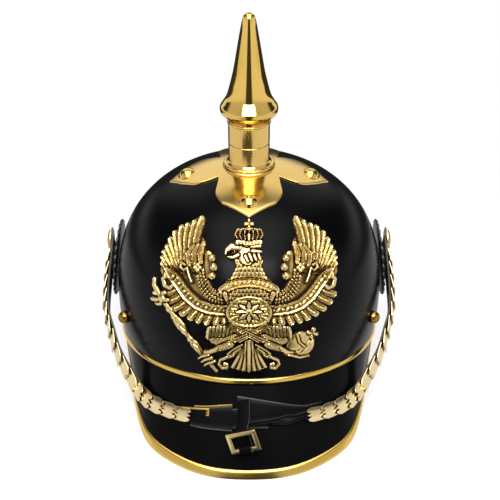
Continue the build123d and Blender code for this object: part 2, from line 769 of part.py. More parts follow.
# ---- Right and left chinscale sets ----
eyelet_low = leather_face + eyelet_gap
boss_low = eyelet_low + eyelet_gauge + 0.05
for name, side, post in (("right", 1, post_planes[0]), ("left", -1, post_planes[1])):
    with BuildPart() as scales:
        add([mirrored(solid, side) for solid in scale_solids])
    scales.part.label = f"{name}_chinscales"
    export_step(scales.part, f"parts/{name}_chinscales.step")

    eye = rod(post, eyelet_radius - 0.4, leather_face - backing_gauge, leather_face)
    leather = mirrored(backing_solid, side) + eye
    leather = leather - rod(post, post_radius + 1.0, 60, 120)
    with BuildPart() as backing:
        add(leather)
    backing.part.label = f"{name}_scale_backing"
    export_step(backing.part, f"parts/{name}_scale_backing.step")

    with BuildPart() as eyelet:
        with BuildSketch(post.offset(eyelet_low)):
            Circle(eyelet_radius)
            Circle(post_radius + post_clear, mode=Mode.SUBTRACT)
        extrude(amount=eyelet_gauge)
    eyelet.part.label = f"{name}_strap_eyelet"
    export_step(eyelet.part, f"parts/{name}_strap_eyelet.step")

    cap = (boss_radius**2 + boss_rise**2) / (2 * boss_rise)
    with BuildPart() as boss:
        with Locations(post.offset(boss_low + boss_rise - cap)):
            Sphere(cap)
        add(rod(post, 60, 0, boss_low), mode=Mode.SUBTRACT)
        add(rod(post, post_radius, nut_seat - nut_height - 1.0, boss_low + 0.8))
    boss.part.label = f"{name}_boss"
    export_step(boss.part, f"parts/{name}_boss.step")

    with BuildPart() as post_nut:
        add(ring_nut(post, nut_radius, post_radius + nut_gap, nut_seat - nut_height, nut_seat))
    post_nut.part.label = f"{name}_boss_nut"
    export_step(post_nut.part, f"parts/{name}_boss_nut.step")

    lean = radians(cockade_lean)
    disc_plane = Plane(origin=(side * (skull_half_width + cockade_out), pivot_y - cockade_forward,
                               pivot_level - cockade_drop),
                       x_dir=(0, 1, 0), z_dir=(side * cos(lean), 0, sin(lean)))
    with BuildPart() as cockade:
        with BuildSketch(disc_plane.offset(-cockade_gauge / 2)):
            Circle(cockade_radius - 1.6)
            with PolarLocations(cockade_radius - 2.9, cockade_teeth):
                Circle(2.9)
        extrude(amount=cockade_gauge)
        add(rod(post, post_radius + hole_gap, 60, 120), mode=Mode.SUBTRACT)
    cockade.part.label = f"{name}_cockade"
    export_step(cockade.part, f"parts/{name}_cockade.step")
    print(name, backing.part.volume, len(scales.part.solids()), len(backing.part.solids()))

# ---- Front of the chin strap ----
whole = stations + [(Vector(-p.X, p.Y, p.Z), Vector(-n.X, n.Y, n.Z))
                    for p, n in reversed(stations[:-1])]
strap_start = backing_end + 0.05
strap_base = (strap_gauge - backing_gauge) / 2
strap_over = strap_base + tongue_gauge + tongue_gap
tab_end = half_length - tab_short


def shifted(frames, sideways, rises):
    """Frames moved towards the rim and outward, each by its own amount."""
    return [(spot + normal.cross(along) * aside + normal * rise, along, normal)
            for (spot, along, normal), aside, rise in zip(frames, sideways, rises)]


def shares(frames):
    """Even shares from 0 to 1, one for each frame."""
    return [k / (len(frames) - 1) for k in range(len(frames))]


# ---- Right strap: crosses the middle over the tongue of the left tab ----
frames, _ = smooth_frames(whole, 7.0, strap_start, half_length + strap_past_middle)
runs = shares(frames)
frames = shifted(frames, [-strap_start_edge - (strap_rise_edge - strap_start_edge) * t
                          for t in runs],
                 [strap_base + (strap_over - strap_base) * min(1.75 * t, 1) for t in runs])
with BuildPart() as right_strap:
    add(ribbon(frames, [strap_start_width + (strap_end_width - strap_start_width) * t
                        for t in runs], strap_gauge))
right_strap.part.label = "right_strap"
export_step(right_strap.part, "parts/right_strap.step")

# ---- Left tab with its thinner tongue, and its brass edging ----
frames, _ = smooth_frames(stations, 7.0, strap_start, tab_end)
runs = shares(frames)
tab_widths = [tab_start_width + (tab_end_width - tab_start_width) * t for t in runs]
tab = ribbon(shifted(frames, [0] * len(runs), [strap_base] * len(runs)), tab_widths, strap_gauge)
frames, _ = smooth_frames(whole, 7.0, tab_end - 4.0, half_length + tongue_past_middle)
low = (tongue_gauge - backing_gauge) / 2
tongue = ribbon(shifted(frames, [0] * len(frames), [low] * len(frames)),
                [tongue_width] * len(frames), tongue_gauge)
with BuildPart() as left_tab:
    add(mirrored(tab + tongue, -1))
left_tab.part.label = "left_strap_tab"
export_step(left_tab.part, "parts/left_strap_tab.step")
frames, _ = smooth_frames(stations, 6.0, tab_end - edge_length, tab_end)
edge_start = (tab_end - edge_length - strap_start) / (tab_end - strap_start)
aside = [-(tab_start_width + (tab_end_width - tab_start_width)
           * (edge_start + (1 - edge_start) * t)) / 2 - edge_width / 2 - 0.1
         for t in shares(frames)]
high = (edge_gauge - backing_gauge) / 2
with BuildPart() as tab_edge:
    add(mirrored(ribbon(shifted(frames, aside, [high] * len(frames)),
                        [edge_width] * len(frames), edge_gauge), -1))
tab_edge.part.label = "left_tab_edge"
export_step(tab_edge.part, "parts/left_tab_edge.step")

# ---- Buckle frame, its lower bar round, and the leather loop that carries it ----
buckle_spot, _ = visor_spot(1.0, 0.0, buckle_down, buckle_lift)
buckle_plane = Plane(origin=buckle_spot - Vector(buckle_aside, 0, 0), x_dir=(0.92, -0.13, 0.37),
                     z_dir=(-0.24, -0.94, 0.25))
window_width = buckle_width - 2 * buckle_bar
window_height = buckle_height - 2 * buckle_bar
pin_level = -(buckle_height - buckle_bar) / 2
pin_plane = Plane(origin=buckle_plane.from_local_coords((0, pin_level, 0)),
                  x_dir=buckle_plane.y_dir, z_dir=buckle_plane.x_dir)
with BuildPart() as buckle_frame:
    with BuildSketch(buckle_plane.offset(-buckle_gauge / 2)):
        RectangleRounded(buckle_width, buckle_height, buckle_corner)
        Rectangle(window_width, window_height, mode=Mode.SUBTRACT)
        with Locations((0, pin_level)):
            Rectangle(window_width, buckle_bar * 1.2, mode=Mode.SUBTRACT)
    extrude(amount=buckle_gauge)
    add(rod(pin_plane, buckle_pin_radius, -window_width / 2 - 0.6, window_width / 2 + 0.6))
buckle_frame.part.label = "buckle_frame"
export_step(buckle_frame.part, "parts/buckle_frame.step")

loop_bore = buckle_pin_radius + buckle_pin_clear
loop_radius = loop_bore + loop_wall
tab_depth = loop_bore + 0.1 + tongue_gauge / 2
strap_top = strap_lift + tongue_gauge + tongue_gap + strap_gauge
tab_lift = strap_top + 0.3 + tongue_gauge / 2
loop_stations = [(buckle_plane.from_local_coords((0, y, -tab_depth)), buckle_plane.z_dir)
                 for y in (pin_level, -2.0, 2.0, 6.4)]
for down, lift in ((buckle_down - 0.223, tab_lift + 2.2), (buckle_down - 0.343, tab_lift + 0.2),
                   (buckle_down - 0.445, tab_lift)):
    spot, normal = visor_spot(1.0, 0.0, down, lift)
    loop_stations.append((spot - Vector(buckle_aside, 0, 0), normal))
frames, _ = smooth_frames(loop_stations, 3.0)
tail = ribbon(frames, [loop_width] * len(frames), tongue_gauge)
loop = rod(pin_plane, loop_radius, -loop_width / 2, loop_width / 2) + tail
loop = loop - rod(pin_plane, loop_bore, -loop_width, loop_width)
with BuildPart() as buckle_tab:
    add(loop)
buckle_tab.part.label = "buckle_tab"
export_step(buckle_tab.part, "parts/buckle_tab.step")
print("straps", [(p.part.volume, len(p.part.solids())) for p in
                 (right_strap, left_tab, tab_edge, buckle_frame, buckle_tab)])


# ---- Lining ----
def lining_slab(low_edge, high_edge):
    """Space between two heights above the tilted seams, front and rear."""
    pieces = []
    for front in (True, False):
        block = side_block(front, 0) & below(seam_plane(front).offset(high_edge))
        pieces.append(block - below(seam_plane(front).offset(low_edge)))
    return pieces[0] + pieces[1]


band_outer = dome(-skull_wall - band_gap)
band_inner = dome(-skull_wall - band_gap - band_gauge)
lip_outer = dome(-skull_wall - lip_gap)
wall_ring = (band_outer - band_inner) & lining_slab(band_lift, band_lift + band_height)
lip_ring = (lip_outer - band_inner) & lining_slab(band_lift, band_lift + lip_height)
with BuildPart() as sweatband:
    add(wall_ring + lip_ring)
sweatband.part.label = "sweatband"
export_step(sweatband.part, "parts/sweatband.step")

liner_grow = -skull_wall - band_gap - band_gauge - liner_gap
liner = dome(liner_grow) - dome(liner_grow - liner_gauge)
for front in (True, False):
    liner = liner - (side_block(front, 0)
                     & below(seam_plane(front).offset(band_lift + band_height - liner_lap)))
liner = liner - rod(Plane.XY, liner_top_radius, 60, 160)
with BuildPart() as tongues:
    add(liner)
    with Locations((0, 0, apex_level / 2)):
        with PolarLocations(0, liner_count, start_angle=180 / liner_count):
            Box(2 * skull_front_reach, liner_slit, 2 * apex_level,
                align=(Align.MIN, Align.CENTER, Align.CENTER), mode=Mode.SUBTRACT)
tongues.part.label = "liner_tongues"
export_step(tongues.part, "parts/liner_tongues.step")
print("lining", sweatband.part.volume, len(sweatband.part.solids()), tongues.part.volume,
      len(tongues.part.solids()))

# ---- Rear spine on the skull, its lower piece on the neck guard, and two rivets ----
strip_top = seam_plane(False).offset(2 * strip_radius + spine_end_gap)
with BuildPart() as spine:
    add(plate_outer)
    add(skull_outer, mode=Mode.SUBTRACT)
    with Locations((0, spine_start, 0)):
        Box(2 * spine_half_width, 200, 400, align=(Align.CENTER, Align.MIN, Align.CENTER),
            mode=Mode.INTERSECT)
    add(below(strip_top), mode=Mode.SUBTRACT)
    for plane in rivet_planes:
        add(rod(plane, rivet_shank_radius + hole_gap, -12, 6), mode=Mode.SUBTRACT)
spine.part.label = "rear_spine"
export_step(spine.part, "parts/rear_spine.step")
with BuildPart() as guard_spine:
    add(brim_band(False, None, trim_height + spine_end_gap, plate_gauge, 0))
    with Locations((0, skull_rear_reach, 0)):
        Box(2 * spine_half_width, 200, 400, mode=Mode.INTERSECT)
guard_spine.part.label = "neck_guard_spine"
export_step(guard_spine.part, "parts/neck_guard_spine.step")
rivet_sphere = (rivet_radius**2 + rivet_rise**2) / (2 * rivet_rise)
with BuildPart() as rivets:
    for plane in rivet_planes:
        with Locations(plane.offset(plate_gauge + rivet_rise - rivet_sphere)):
            Sphere(rivet_sphere)
    add(plate_outer, mode=Mode.SUBTRACT)
    for plane in rivet_planes:
        add(rod(plane, rivet_shank_radius, -skull_wall - 1.2, plate_gauge + 0.4))
rivets.part.label = "spine_rivets"
export_step(rivets.part, "parts/spine_rivets.step")
print("spine", [(p.part.volume, len(p.part.solids())) for p in (spine, guard_spine, rivets)])

# ---- Eagle plate: one stamped sheet with raised feathers, ribbons, body and head ----
eagle_lean = radians(eagle_tilt)
eagle_plane = Plane(origin=(0, -skull_front_reach - eagle_forward, eagle_level), x_dir=(1, 0, 0),
                    z_dir=(0, -cos(eagle_lean), sin(eagle_lean)))
wing = ((-29.0, 68.3), (-34.9, 65.6), (-38.6, 63.0), (-43.3, 62.2), (-46.4, 58.2), (-49.2, 53.6),
        (-52.7, 50.3), (-53.7, 44.6), (-55.4, 39.3), (-55.5, 34.5), (-53.2, 29.2), (-53.3, 23.5),
        (-51.9, 17.4), (-47.6, 13.8), (-42.6, 10.8), (-37.4, 8.8), (-30.6, 6.8), (-24.0, 6.1),
        (-10.0, 7.6), (-10.0, 27.8), (-21.8, 28.0), (-23.1, 32.2), (-20.5, 35.0), (-21.5, 37.3),
        (-19.4, 40.1), (-21.9, 42.3), (-20.9, 45.8), (-25.3, 47.4), (-26.7, 53.8), (-29.4, 57.2),
        (-27.6, 62.0))
body = ((-6.4, 52.1), (-10.1, 51.3), (-13.8, 49.3), (-14.2, 46.7), (-10.1, 47.7), (-12.5, 44.1),
        (-9.2, 42.7), (-8.2, 40.5), (-10.8, 35.0), (-14.9, 30.2), (-14.1, 19.1), (-12.9, 7.6),
        (-24.0, 5.2), (-29.9, 2.0), (-29.1, -2.3), (-22.5, -5.3), (-21.5, -9.8), (-27.2, -13.6),
        (-25.6, -17.0), (-18.5, -15.4), (-11.0, -10.0), (-12.8, -16.4), (-17.9, -18.9),
        (-18.2, -22.5), (-15.2, -24.8), (-10.3, -23.3), (-6.1, -24.4), (0.0, -25.6))
crown = ((-6.2, 51.6), (-8.5, 57.6), (-6.1, 60.3), (-1.2, 59.9), (-1.0, 62.2), (-2.6, 62.4),
         (-2.6, 64.2), (-0.9, 64.3), (-0.9, 65.9), (0.9, 65.9), (0.9, 64.3), (2.6, 64.2),
         (2.6, 62.4), (1.0, 62.2), (1.2, 59.9), (6.1, 60.3), (8.5, 57.6), (6.2, 51.6))
sceptre = ((-65.0, 22.6), (-62.0, 14.6), (-56.4, 13.8), (-53.0, 11.0), (-44.4, -0.4),
           (-42.6, -5.6), (-38.4, -8.6), (-35.2, -13.6), (-31.6, -15.2), (-21.2, -27.2),
           (-19.2, -25.6), (-28.6, -12.8), (-30.0, -8.6), (-35.0, -4.4), (-37.6, -0.6),
           (-42.4, 2.2), (-50.4, 13.2), (-53.0, 20.6), (-55.4, 25.8), (-58.6, 29.0))
wing_ribbon = ((-49.9, 35.7), (-42.4, 31.4), (-35.5, 24.1), (-28.0, 19.1), (-20.6, 16.8),
               (-12.0, 16.0), (-12.0, 12.6), (-20.6, 13.0), (-28.9, 14.1), (-37.2, 18.3),
               (-44.5, 26.4), (-49.4, 27.6), (-52.8, 30.6))
feathers = (((-29.8, 53.0), (-29.3, 66.4)), ((-32.8, 51.0), (-34.0, 63.8)),
            ((-34.8, 48.4), (-38.4, 61.0)), ((-36.2, 45.8), (-42.7, 60.4)),
            ((-37.4, 43.2), (-46.0, 55.4)), ((-38.6, 40.8), (-50.3, 49.6)),
            ((-39.8, 38.4), (-52.0, 44.0)), ((-43.0, 34.6), (-53.4, 38.2)),
            ((-40.4, 21.6), (-51.6, 20.4)), ((-36.8, 18.6), (-48.4, 16.2)),
            ((-32.6, 16.8), (-44.0, 12.8)), ((-28.2, 15.4), (-38.6, 10.6)),
            ((-24.0, 14.6), (-33.4, 8.8)), ((-19.6, 14.0), (-27.0, 8.0)))
feather_width = 3.0
orb_place = (31.6, -8.6)
orb_radius = 9.0


def eagle_layer(relief, root, *outlines, bars=(), rounds=()):
    """Raised area of the plate: outlines on both sides, cut from a shell over the skull."""
    with BuildPart(mode=Mode.PRIVATE) as layer:
        with BuildSketch(eagle_plane.offset(-75)):
            for outline in outlines:
                Polygon(*outline, align=None)
            for start, end in bars:
                run = Vector(*end) - Vector(*start)
                with Locations(Location((start[0] + run.X / 2, start[1] + run.Y / 2, 0),
                                        (0, 0, degrees(atan2(run.Y, run.X))))):
                    SlotOverall(run.length + feather_width, feather_width)
            for place, radius in rounds:
                with Locations(place):
                    Circle(radius)
        extrude(amount=75)
        add(dome(relief), mode=Mode.INTERSECT)
        add(dome(root) if root else skull_outer, mode=Mode.SUBTRACT)
    return layer.part


def both_sides(points):
    """An outline and its mirror image."""
    return [points, [(-x, y) for x, y in reversed(points)]]


half_body = [(x, y) for x, y in body]
whole_body = half_body + [(-x, y) for x, y in reversed(half_body[:-1])
                          if not (y > 42.8 and x < -6.4)]
root = eagle_gauge - 0.3
eagle = eagle_layer(eagle_gauge, 0, *both_sides(wing), whole_body, crown, sceptre,
                    rounds=((orb_place, orb_radius),))
both_bars = list(feathers) + [((-a, b), (-c, d)) for (a, b), (c, d) in feathers]
eagle = eagle + eagle_layer(eagle_feather_relief, root, bars=both_bars)
eagle = eagle + eagle_layer(eagle_band_relief, root, *both_sides(wing_ribbon),
                            rounds=((orb_place, orb_radius - 0.8),))
eagle = eagle + eagle_layer(eagle_body_relief, root, [(0.94 * x, y) for x, y in whole_body])
eagle = eagle + eagle_layer(eagle_head_relief, root, [(0.94 * x, y) for x, y in crown[:-1]
                                                      + crown[-1:]])
eagle_seats = []
for plane in eagle_planes:
    side_x = abs(plane.origin.X)
    outer_face = front_face(side_x, eagle_post_level, 0)
    seat = front_face(side_x + nut_radius, eagle_post_level + nut_radius, -skull_wall) - 0.2
    eagle = eagle + rod(plane, eagle_post_radius, seat - nut_height - 1.0, outer_face + 0.6)
    eagle_seats.append(seat)
with BuildPart() as eagle_plate:
    add(eagle)
eagle_plate.part.label = "eagle_plate"
export_step(eagle_plate.part, "parts/eagle_plate.step")
with BuildPart() as eagle_nuts:
    for plane, seat in zip(eagle_planes, eagle_seats):
        add(ring_nut(plane, nut_radius, eagle_post_radius + nut_gap, seat - nut_height, seat))
eagle_nuts.part.label = "eagle_nuts"
export_step(eagle_nuts.part, "parts/eagle_nuts.step")
print("eagle", eagle_plate.part.volume, len(eagle_plate.part.solids()),
      eagle_plate.part.bounding_box())
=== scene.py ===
"""Looks of a spiked parade helmet: lacquered skull, brass fittings, eagle and chin strap."""
import logging
import math
from dataclasses import dataclass, field
from enum import Enum
from functools import partial
from typing import Callable, Sequence

import bpy
import numpy as np
from mathutils import Matrix, Vector


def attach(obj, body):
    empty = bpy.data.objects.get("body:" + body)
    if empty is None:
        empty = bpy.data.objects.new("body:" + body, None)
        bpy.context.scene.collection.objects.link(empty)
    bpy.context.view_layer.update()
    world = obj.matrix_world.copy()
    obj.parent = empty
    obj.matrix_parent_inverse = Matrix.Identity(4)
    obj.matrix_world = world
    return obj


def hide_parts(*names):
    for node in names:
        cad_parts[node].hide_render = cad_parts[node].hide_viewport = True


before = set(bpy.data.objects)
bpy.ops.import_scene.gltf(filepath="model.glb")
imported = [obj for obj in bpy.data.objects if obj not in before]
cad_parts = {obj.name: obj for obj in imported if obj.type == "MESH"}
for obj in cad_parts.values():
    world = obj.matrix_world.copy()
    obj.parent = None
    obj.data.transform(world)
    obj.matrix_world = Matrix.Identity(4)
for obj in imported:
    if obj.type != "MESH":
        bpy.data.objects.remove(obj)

log = logging.getLogger("helmet")
MM = 0.001
Pair = tuple[float, float]
Frame = tuple[Vector, Vector, Vector]


class Body(Enum):
    """Rigid bodies that pieces ride on."""

    HELMET = "helmet"
    SPIKE = "spike"
    CHINSTRAP = "chinstrap"
    BUCKLE = "buckle"


@dataclass(frozen=True)
class HelmetSizes:
    """Shared sizes of the skull and its two brims, in millimetres."""

    half_width: float = 95.0
    front_reach: float = 106.0
    rear_reach: float = 97.0
    wall: float = 3.0
    base_level: float = 41.0
    rise: float = 102.8
    flatness: float = 2.87
    fullness: float = 1.95
    foot_half_width: float = 92.3
    foot_level: float = 8.0
    side_seam: float = 15.0
    front_seam: float = 41.6
    rear_seam: float = 36.0
    side_rim: float = 12.0
    low_rim: float = 0.5
    brim_gauge: float = 2.6
    rim_half_width: float = 92.0
    visor_reach: float = 145.2
    guard_reach: float = 139.0
    plate_gauge: float = 1.1


class Value:
    """A node socket that takes part in plain arithmetic."""

    def __init__(self, shader: "Shader", socket: bpy.types.NodeSocket) -> None:
        """Keeps the shader and the socket."""
        self.shader = shader
        self.socket = socket

    def _math(self, operation: str, *others: "Value | float") -> "Value":
        """One Math node on this value and the others."""
        return self.shader.node("ShaderNodeMath", {"operation": operation}, [self, *others])

    def __add__(self, other: "Value | float") -> "Value":
        """Sum."""
        return self._math("ADD", other)

    __radd__ = __add__

    def __sub__(self, other: "Value | float") -> "Value":
        """Difference."""
        return self._math("SUBTRACT", other)

    def __rsub__(self, other: float) -> "Value":
        """Difference, reflected."""
        return self.shader.node("ShaderNodeMath", {"operation": "SUBTRACT"}, [other, self])

    def __mul__(self, other: "Value | float") -> "Value":
        """Product."""
        return self._math("MULTIPLY", other)

    __rmul__ = __mul__

    def clamp(self) -> "Value":
        """This value held between 0 and 1."""
        return self.shader.node("ShaderNodeClamp", {}, [self])

    def size(self) -> "Value":
        """This value without its sign."""
        return self._math("ABSOLUTE")

    def turn(self, other: "Value | float") -> "Value":
        """Angle whose tangent is this value over the other."""
        return self._math("ARCTAN2", other)

    def ease(self, start: float, end: float) -> "Value":
        """Smooth step: 0 before the start, 1 after the end.

        Args:
            start: Where the step begins.
            end: Where it ends; below the start, it falls.

        Returns:
            The eased value.
        """
        low, high = min(start, end), max(start, end)
        levels = (0.0, 1.0) if start < end else (1.0, 0.0)
        return self.shader.node("ShaderNodeMapRange", {"interpolation_type": "SMOOTHSTEP"},
                                [self, low, high, *levels])


class Shader:
    """A procedural material or world, built node by node."""

    def __init__(self, name: str, tree: bpy.types.NodeTree | None = None) -> None:
        """Starts a material with a Principled shader, or takes a tree that exists.

        Args:
            name: The material's name.
            tree: Node tree to build in; a new material's tree where it is None.
        """
        self.tree = tree
        if tree is None:
            self.material = bpy.data.materials.new(name)
            self.material.use_nodes = True
            self.tree = self.material.node_tree
            self.surface = self.tree.nodes["Principled BSDF"]

    def node(self, kind: str, settings: dict, inputs: Sequence = (),
             output: int | str = 0, **named) -> Value:
        """Adds one node.

        Args:
            kind: The node's type name.
            settings: Attributes that are set first; "stops" fills a colour ramp.
            inputs: Values or links of the first sockets, None to skip one.
            output: Index or name of the output that is returned.
            **named: Values or links by socket name, spaces written as underscores.

        Returns:
            The chosen output as a value.
        """
        made = self.tree.nodes.new(kind)
        for key, setting in settings.items():
            if key == "stops":
                ramp = made.color_ramp
                while len(ramp.elements) < len(setting):
                    ramp.elements.new(0.5)
                for element, (place, colour) in zip(ramp.elements, setting):
                    element.position = place
                    element.color = (*colour, 1.0)
            else:
                setattr(made, key, setting)
        for index, given in enumerate(inputs):
            self._feed(made.inputs[index], given)
        for key, given in named.items():
            self._feed(made.inputs[key.replace("_", " ")], given)
        return Value(self, made.outputs[output] if len(made.outputs) else None)

    def _feed(self, socket: bpy.types.NodeSocket, given: object) -> None:
        """Links or sets one socket.

        Args:
            socket: Input socket.
            given: Value to link, number or colour to set, or None.
        """
        if given is None:
            return
        if isinstance(given, Value):
            self.tree.links.new(given.socket, socket)
        else:
            socket.default_value = given

    def set(self, **named) -> None:
        """Sets or links sockets of the Principled shader by name."""
        for key, given in named.items():
            self._feed(self.surface.inputs[key.replace("_", " ")], given)

    def show(self, result: Value) -> None:
        """Links a result to the material's output."""
        self._feed(self.tree.nodes["Material Output"].inputs["Surface"], result)

    def place(self) -> Value:
        """Object coordinates, in metres."""
        return self.node("ShaderNodeTexCoord", {}, output=3)

    def attribute(self, name: str) -> Value:
        """A number stored on the mesh."""
        return self.node("ShaderNodeAttribute", {"attribute_name": name}, output=2)

    def noise(self, scale: float, detail: float = 3.0, stretch: tuple = (1, 1, 1)) -> Value:
        """Noise over the object coordinates."""
        spot = self.node("ShaderNodeMapping", {}, Vector=self.place(), Scale=stretch)
        return self.node("ShaderNodeTexNoise", {}, Vector=spot, Scale=scale, Detail=detail)

    def mix(self, share: "Value | float", first: object, second: object) -> Value:
        """Colour between two colours or links.

        Args:
            share: Share of the second colour.
            first: Colour at 0.
            second: Colour at 1.

        Returns:
            The mixed colour.
        """
        ends = [given if isinstance(given, Value) else (*given, 1.0) for given in (first, second)]
        return self.node("ShaderNodeMix", {"data_type": "RGBA"}, [share, *[None] * 5, *ends],
                         output=2)

    def bump(self, height: Value, distance: float, strength: float = 1.0) -> Value:
        """Normal bent by a height."""
        return self.node("ShaderNodeBump", {}, Height=height, Distance=distance,
                         Strength=strength)


@dataclass(frozen=True)
class Brass:
    """Brass sheet or casting, polished or satin.

    Args:
        name: Material name.
        slot: Record slot it stands for.
        bright: Colour where polished.
        dull: Colour where handled or tarnished.
        rough: Lowest roughness.
        spread: Added roughness where dull.
        grain: Height of the fine surface marks in millimetres.
        painted_shade: Painted shade: darkening where the mesh's cut number marks places that lie
            under a neighbouring piece's edge.
    """

    name: str
    slot: str
    bright: tuple = (0.88, 0.59, 0.15)
    dull: tuple = (0.70, 0.43, 0.08)
    rough: float = 0.10
    spread: float = 0.12
    grain: float = 0.004
    painted_shade: float = 0.0

    def make(self) -> bpy.types.Material:
        """Builds the material.

        Returns:
            The material.
        """
        shader = Shader(self.name)
        # Painted shade: the cut number darkens and roughens the places under a neighbouring piece's
        # edge.
        neighbour_shade = shader.attribute("cut") * self.painted_shade
        cloud = shader.noise(38.0, 4.0)
        marks = shader.noise(900.0, 2.0, (1, 1, 0.12))
        worn = ((cloud - 0.42) * 2.6).clamp()
        metal = shader.mix(worn * 0.4, self.bright, self.dull)
        shader.set(Base_Color=shader.mix(neighbour_shade, metal, (0.03, 0.018, 0.006)), Metallic=1.0,
                   Roughness=worn * self.spread + marks * 0.03 + neighbour_shade * 0.3 + self.rough,
                   Normal=shader.bump(marks, self.grain * MM))
        return shader.material


@dataclass(frozen=True)
class AgedBrass:
    """Cast brass with dark recesses and rubbed high places."""

    name: str = "aged_brass"
    slot: str = "eagle_brass"

    def make(self) -> bpy.types.Material:
        """Builds the material from the mesh's recess number.

        Returns:
            The material.
        """
        shader = Shader(self.name)
        recess = shader.attribute("recess")
        speck = shader.noise(1500.0, 3.0)
        cloud = shader.noise(60.0, 3.0)
        tone = (recess + (speck - 0.5) * 0.22 + (cloud - 0.5) * 0.12).clamp()
        colour = shader.node("ShaderNodeValToRGB", {"stops": (
            (0.0, (0.012, 0.007, 0.002)), (0.34, (0.07, 0.040, 0.010)),
            (0.50, (0.34, 0.22, 0.055)), (0.70, (0.66, 0.47, 0.16)),
            (1.0, (0.90, 0.70, 0.34)))}, [tone])
        shader.set(Base_Color=colour, Metallic=(tone * 0.9 + 0.5).clamp(),
                   Roughness=0.40 - tone * 0.14,
                   Normal=shader.bump(speck, 0.03 * MM, 0.5))
        return shader.material


@dataclass(frozen=True)
class Lacquer:
    """Black lacquered leather: satin gloss over a barely visible grain."""

    name: str = "black_lacquer"
    slot: str = "black_lacquer"
    colour: tuple = (0.0009, 0.0009, 0.0011)
    rough: float = 0.25
    shine: float = 0.075

    def make(self) -> bpy.types.Material:
        """Builds the material.

        Returns:
            The material.
        """
        shader = Shader(self.name)
        cloud = shader.noise(22.0, 4.0)
        grain = shader.noise(1400.0, 3.0)
        pores = shader.node("ShaderNodeTexVoronoi", {"feature": "DISTANCE_TO_EDGE"},
                            Vector=shader.place(), Scale=900.0)
        shader.set(Base_Color=shader.mix((cloud - 0.35).clamp(), self.colour,
                                         tuple(2.1 * c for c in self.colour)),
                   Roughness=cloud * 0.10 + grain * 0.03 + self.rough - 0.06,
                   Specular_IOR_Level=self.shine, Coat_Weight=0.01, Coat_Roughness=0.08,
                   Normal=shader.bump(pores * 0.5 + grain, 0.006 * MM, 0.5))
        return shader.material


@dataclass(frozen=True)
class Hide:
    """Strap or lining leather with grain, its edges painted paler as a highlight."""

    name: str
    slot: str
    colour: tuple
    edge: tuple
    rough: float = 0.5
    grain: float = 0.05

    def make(self) -> bpy.types.Material:
        """Builds the material; the mesh's cut number marks its edges.

        Returns:
            The material.
        """
        shader = Shader(self.name)
        cloud = shader.noise(120.0, 4.0)
        pores = shader.node("ShaderNodeTexVoronoi", {"feature": "DISTANCE_TO_EDGE"},
                            Vector=shader.place(), Scale=1100.0)
        cut = shader.attribute("cut")
        face = shader.mix((cloud - 0.3).clamp(), self.colour, tuple(1.9 * c for c in self.colour))
        # Painted highlight: the cut number paints the edges paler, as if they caught the light.
        shader.set(Base_Color=shader.mix(cut, face, self.edge), Specular_IOR_Level=0.06,
                   Roughness=cloud * 0.2 + self.rough - 0.1 - cut * 0.08,
                   Normal=shader.bump((pores * 6.0).clamp(), self.grain * MM, 0.7))
        return shader.material


@dataclass(frozen=True)
class Paint:
    """Painted or plain metal for small hidden pieces and the cockades."""

    name: str
    slot: str
    colour: tuple
    metal: float = 0.0
    rough: float = 0.4

    def make(self) -> bpy.types.Material:
        """Builds the material.

        Returns:
            The material.
        """
        shader = Shader(self.name)
        cloud = shader.noise(90.0, 4.0)
        shader.set(Base_Color=shader.mix((cloud - 0.3).clamp(), self.colour,
                                         tuple(1.6 * c for c in self.colour)),
                   Metallic=self.metal, Roughness=cloud * 0.2 + self.rough - 0.1,
                   Normal=shader.bump(cloud, 0.02 * MM, 0.4))
        return shader.material


class Wardrobe:
    """Makes each finish once and hands it out."""

    finishes = (
        Brass("spike_brass", "spike_brass", rough=0.05, spread=0.08, grain=0.001),
        Brass("buckle_brass", "trim_brass", bright=(1.0, 0.77, 0.36), dull=(0.96, 0.70, 0.28),
              rough=0.20, spread=0.06, grain=0.0),
        Brass("plate_brass", "plate_brass", bright=(0.88, 0.60, 0.19), dull=(0.74, 0.46, 0.10),
              rough=0.12, spread=0.12),
        Brass("trim_brass", "trim_brass", bright=(0.90, 0.60, 0.14), dull=(0.72, 0.44, 0.08),
              rough=0.15, spread=0.14),
        Brass("ball_brass", "trim_brass", bright=(0.40, 0.23, 0.05), dull=(0.16, 0.09, 0.02),
              rough=0.16, spread=0.14),
        # The scales carry painted shade under the edge of the scale before them.
        Brass("scale_brass", "scale_brass", bright=(1.0, 0.81, 0.45), dull=(0.90, 0.66, 0.30),
              rough=0.24, spread=0.14, grain=0.006, painted_shade=0.9),
        Brass("boss_brass", "scale_brass", bright=(0.66, 0.40, 0.18), dull=(0.42, 0.24, 0.09),
              rough=0.22, spread=0.2),
        AgedBrass(),
        Lacquer(),
        Hide("strap_leather", "strap_leather", (0.0011, 0.0011, 0.0013), (0.10, 0.09, 0.085), 0.44),
        Hide("lining_leather", "lining_leather", (0.20, 0.115, 0.055), (0.34, 0.22, 0.12), 0.6),
        Paint("cockade_black", "cockade_black", (0.008, 0.008, 0.009), 0.0, 0.33),
        Paint("steel", "steel", (0.42, 0.42, 0.43), 1.0, 0.35),
    )

    def __init__(self) -> None:
        """Builds every finish."""
        self.made = {finish.name: (finish.make(), finish.slot) for finish in self.finishes}

    def dress(self, piece: bpy.types.Object, finish: str, body: Body, *nodes: str) -> None:
        """Gives a new piece its finish, its body and the nodes it stands for.

        Args:
            piece: The modelled piece.
            finish: Name of the finish.
            body: Body that it rides on.
            *nodes: Nodes of the solid model that it replaces.
        """
        material, slot = self.made[finish]
        piece.data.materials.clear()
        piece.data.materials.append(material)
        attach(piece, body.value)
        if nodes:
            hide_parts(*nodes)
        log.info("%s: %d faces, %s", piece.name, len(piece.data.polygons), finish)

    def paint_node(self, node: str, finish: str) -> None:
        """Gives a kept node of the solid model its finish.

        Args:
            node: Name of the node.
            finish: Name of the finish.
        """
        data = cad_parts[node].data
        data.materials.clear()
        data.materials.append(self.made[finish][0])


